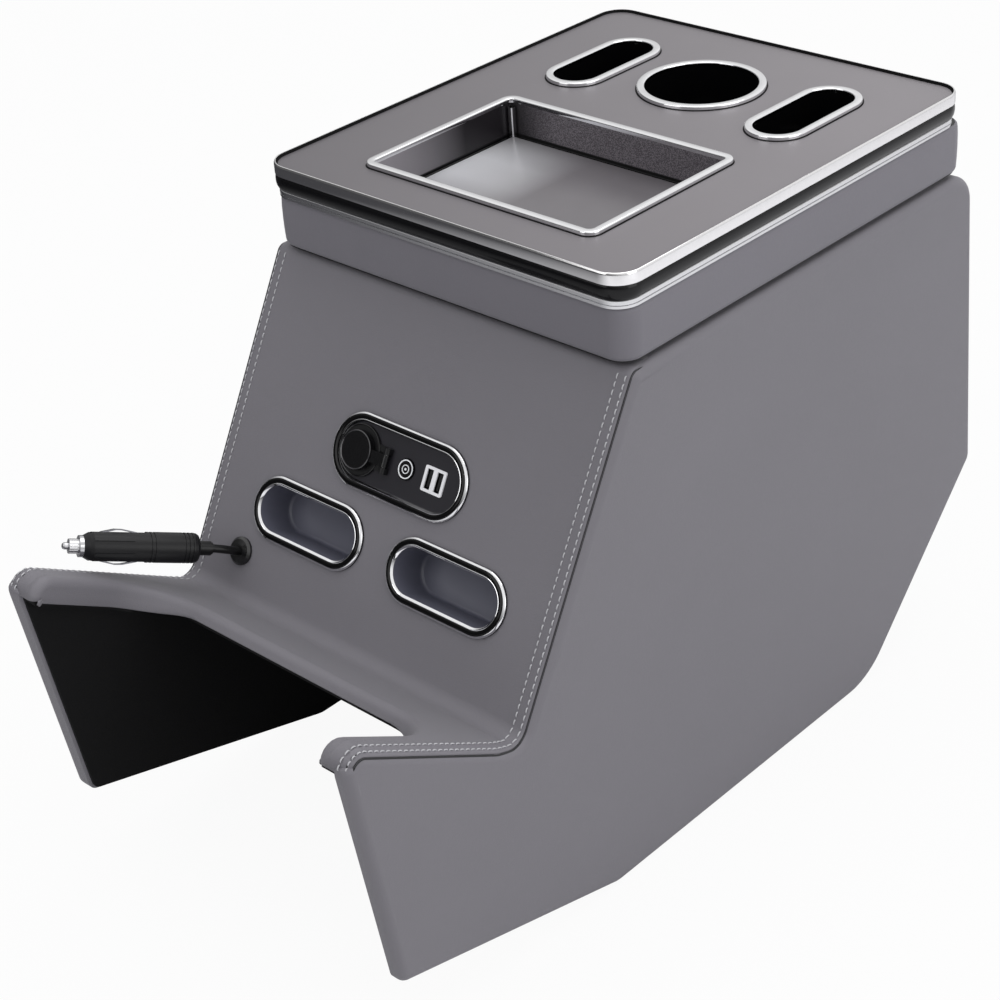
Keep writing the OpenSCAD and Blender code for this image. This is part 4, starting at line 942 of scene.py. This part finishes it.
# Light rings of the switch, the tongues in the two ports, and the lips of the socket and its cap
SOCKET_C = (-34, PANEL_V)
BUTTON_FACE = 1.75
for r0, r1, tag in ((5.35, 6.1, "outer"), (2.4, 2.9, "inner"), (0.05, 0.75, "middle")):
    section = [(0, 0.9), (r1 - r0, 0.9), (r1 - r0, BUTTON_FACE), (0, BUTTON_FACE)]
    light = ring("switch_light_" + tag, 2 * r0, 2 * r0, r0, section, (6.2, PANEL_V), on_face, [LIGHT_RING], "button")
tongues = bars("port_tongues", [(30.2 + x, PANEL_V, -1.9, 0.5, 4.8, 1.0) for x in (-3.2, 5.2)], [WHITE], "body")
flange = ring("socket_lip", 32, 32, 16, [(0, 1.9), (0.9, 1.9), (0.9, 2.3), (0.45, 2.6), (0, 2.3)],
              SOCKET_C, on_face, [CAP_GLOSS], "body")
lip = ring("cap_lip", 23.4, 23.4, 11.7, [(0, 6.0), (1.0, 6.0), (1.0, 6.35), (0.6, 6.7), (0.2, 6.55)],
           SOCKET_C, on_face, [CAP_EDGE], "cap")


# ---------------------------------------------------------------- cord and plug
ROUTE = GROMMET + np.array([[0, 0, -8], [0, 0, -2], [0, 0, 4], [0, 0.1, 9], [-0.6, 0.15, 13.6], [-2.2, -0.05, 18.4],
                            [-4.5, -0.6, 23], [-7, -1.55, 28]])


def smooth_route(p, steps=4):
    """Catmull-Rom curve through the route's points."""
    e = np.concatenate([[2 * p[0] - p[1]], p, [2 * p[-1] - p[-2]]])
    t = np.linspace(0, 1, steps, endpoint=False)[:, None]
    out = []
    for i in range(1, len(e) - 2):
        a, b, c2, d = e[i - 1], e[i], e[i + 1], e[i + 2]
        square, cube = 2 * a - 5 * b + 4 * c2 - d, 3 * b - a - 3 * c2 + d
        out.append(0.5 * (2 * b + (c2 - a) * t + square * t ** 2 + cube * t ** 3))
    return np.concatenate(out + [p[-1:]])


def tube(name, path, radius, mats, body, sides=16):
    """Round tube along a path, its rings square to the path."""
    d = np.gradient(path, axis=0)
    d /= np.linalg.norm(d, axis=1)[:, None]
    u = np.cross(d, np.array([0, 0, 1.0]) + 0 * d)
    u /= np.linalg.norm(u, axis=1)[:, None]
    v = np.cross(d, u)
    a = np.linspace(0, 2 * math.pi, sides, endpoint=False)
    P = path[:, None] + radius * (u[:, None] * np.cos(a)[None, :, None] + v[:, None] * np.sin(a)[None, :, None])
    return Parts().grid(P, wrap_cols=True).cap(P[0], flip=True).cap(P[-1]).build(name, mats, body)


route = on_face(smooth_route(ROUTE))
cord_obj = tube("power_cord", route, 2.8, [RUBBER], "body")
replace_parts(cord_obj, "cord")

nodes = frame["nodes"]


def finish(obj, mat):
    """Gives a CAD piece its material."""
    obj.data.materials.clear()
    obj.data.materials.append(mat)


for names, mat in (
        (("left_side_board", "right_side_board", "rear_board", "floor_board", "top_frame", "front_shell"), BOARD),
        (("storage_tub", "power_housing", "lid_box"), BLACK),
        (("hinge_bracket", "lid_hinge_leaf"), BLACK_STEEL),
        (("hinge_pin", "cap_hinge_pin", "hinge_screws", "leaf_screws"), STEEL),
        (("lid_bumpers", "plug_strain_relief"), RUBBER),
        (("cord_grommet",), GROMMET_BLACK),
        (("socket_cap", "ring_button"), CAP_GLOSS),
        (("plug_body",), PLUG_BLACK),
        (("socket_contact",), BRASS),
        (("socket_barrel", "usb_module"), BLACK),
        (("power_faceplate",), CHARCOAL),
        (("usb_frame",), WHITE),
        (("plug_collar", "plug_tip"), NICKEL),
        (("plug_spring_upper", "plug_spring_lower"), SPRING),
        (("deck_plate",), DECK_METAL)):
    for name in names:
        finish(nodes[name], mat)

[tuple(p) for p in route * MM]
tuple(on_face((GROMMET + [0, 0, 3.6])[None])[0] * MM)


# ---------------------------------------------------------------- stage and light
def stage():
    """Pale floor, one overhead and two side lamps, and a surround that is white to the camera."""
    me = bpy.data.meshes.new("floor")
    me.from_pydata([(-6, -6, -0.0005), (6, -6, -0.0005), (6, 6, -0.0005), (-6, 6, -0.0005)], [], [(0, 1, 2, 3)])
    floor = bpy.data.objects.new("floor", me)
    bpy.context.scene.collection.objects.link(floor)
    f = Finish("white_floor", Roughness=0.9, **{"Base Color": (0.8, 0.8, 0.8, 1)})
    path = f.node("ShaderNodeLightPath", {}, {})
    glow = f.node("ShaderNodeEmission", {}, {"Color": (1, 1, 1, 1), "Strength": 1.0})
    seen = Value(f, path.outputs["Is Camera Ray"])
    mirrored = Value(f, path.outputs["Is Glossy Ray"])
    # mirrored rays see a floor that darkens to the left, so that metal edges get contrast
    far = f.axis(0).ramp(-0.9, 0.35)
    f.colour(f.blend(mirrored, (0.62, 0.62, 0.63, 1), f.blend(far, (0.03, 0.03, 0.035, 1), (0.9, 0.9, 0.92, 1))))
    mix = f.node("ShaderNodeMixShader", {}, {0: seen * 0.94, 1: f.bsdf.outputs[0], 2: glow.outputs[0]})
    f.tree.links.new(mix.outputs[0], f.out.inputs["Surface"])
    me.materials.append(f.mat)
    world = bpy.data.worlds.new("studio")
    bpy.context.scene.world = world
    world.use_nodes = True
    t = world.node_tree
    bg = t.nodes["Background"]
    coord = t.nodes.new("ShaderNodeTexCoord")
    tilt = t.nodes.new("ShaderNodeVectorMath")
    tilt.operation = "DOT_PRODUCT"
    t.links.new(coord.outputs["Generated"], tilt.inputs[0])
    tilt.inputs[1].default_value = (0.3, 0.28, 0.91)
    sky = t.nodes.new("ShaderNodeMapRange")
    t.links.new(tilt.outputs["Value"], sky.inputs[0])
    for k, v in enumerate((-0.1, 0.46, 0.12, 1.0)):
        sky.inputs[k + 1].default_value = v
    lp = t.nodes.new("ShaderNodeLightPath")
    mx = t.nodes.new("ShaderNodeMath")
    mx.operation = "MAXIMUM"
    t.links.new(lp.outputs["Is Camera Ray"], mx.inputs[0])
    t.links.new(sky.outputs[0], mx.inputs[1])
    t.links.new(mx.outputs[0], bg.inputs["Strength"])
    bg.inputs["Color"].default_value = (1, 1, 1, 1)
    for name, loc, size, power in (
            ("top_lamp", (0.1, 0.5, 1.9), 1.4, 10),
            ("front_lamp", (-0.5, -1.8, 1.2), 1.2, 7),
            ("right_lamp", (2.0, 0.1, 0.9), 1.2, 7)):
        lamp = bpy.data.lights.new(name, "AREA")
        lamp.energy = power
        lamp.size = size
        o = bpy.data.objects.new(name, lamp)
        o.location = loc
        d = np.array([0, 0, 0.25]) - np.array(loc)
        o.rotation_euler = Vector(d).to_track_quat("-Z", "Y").to_euler()
        bpy.context.scene.collection.objects.link(o)
    bpy.context.scene.view_settings.view_transform = "Standard"


stage()
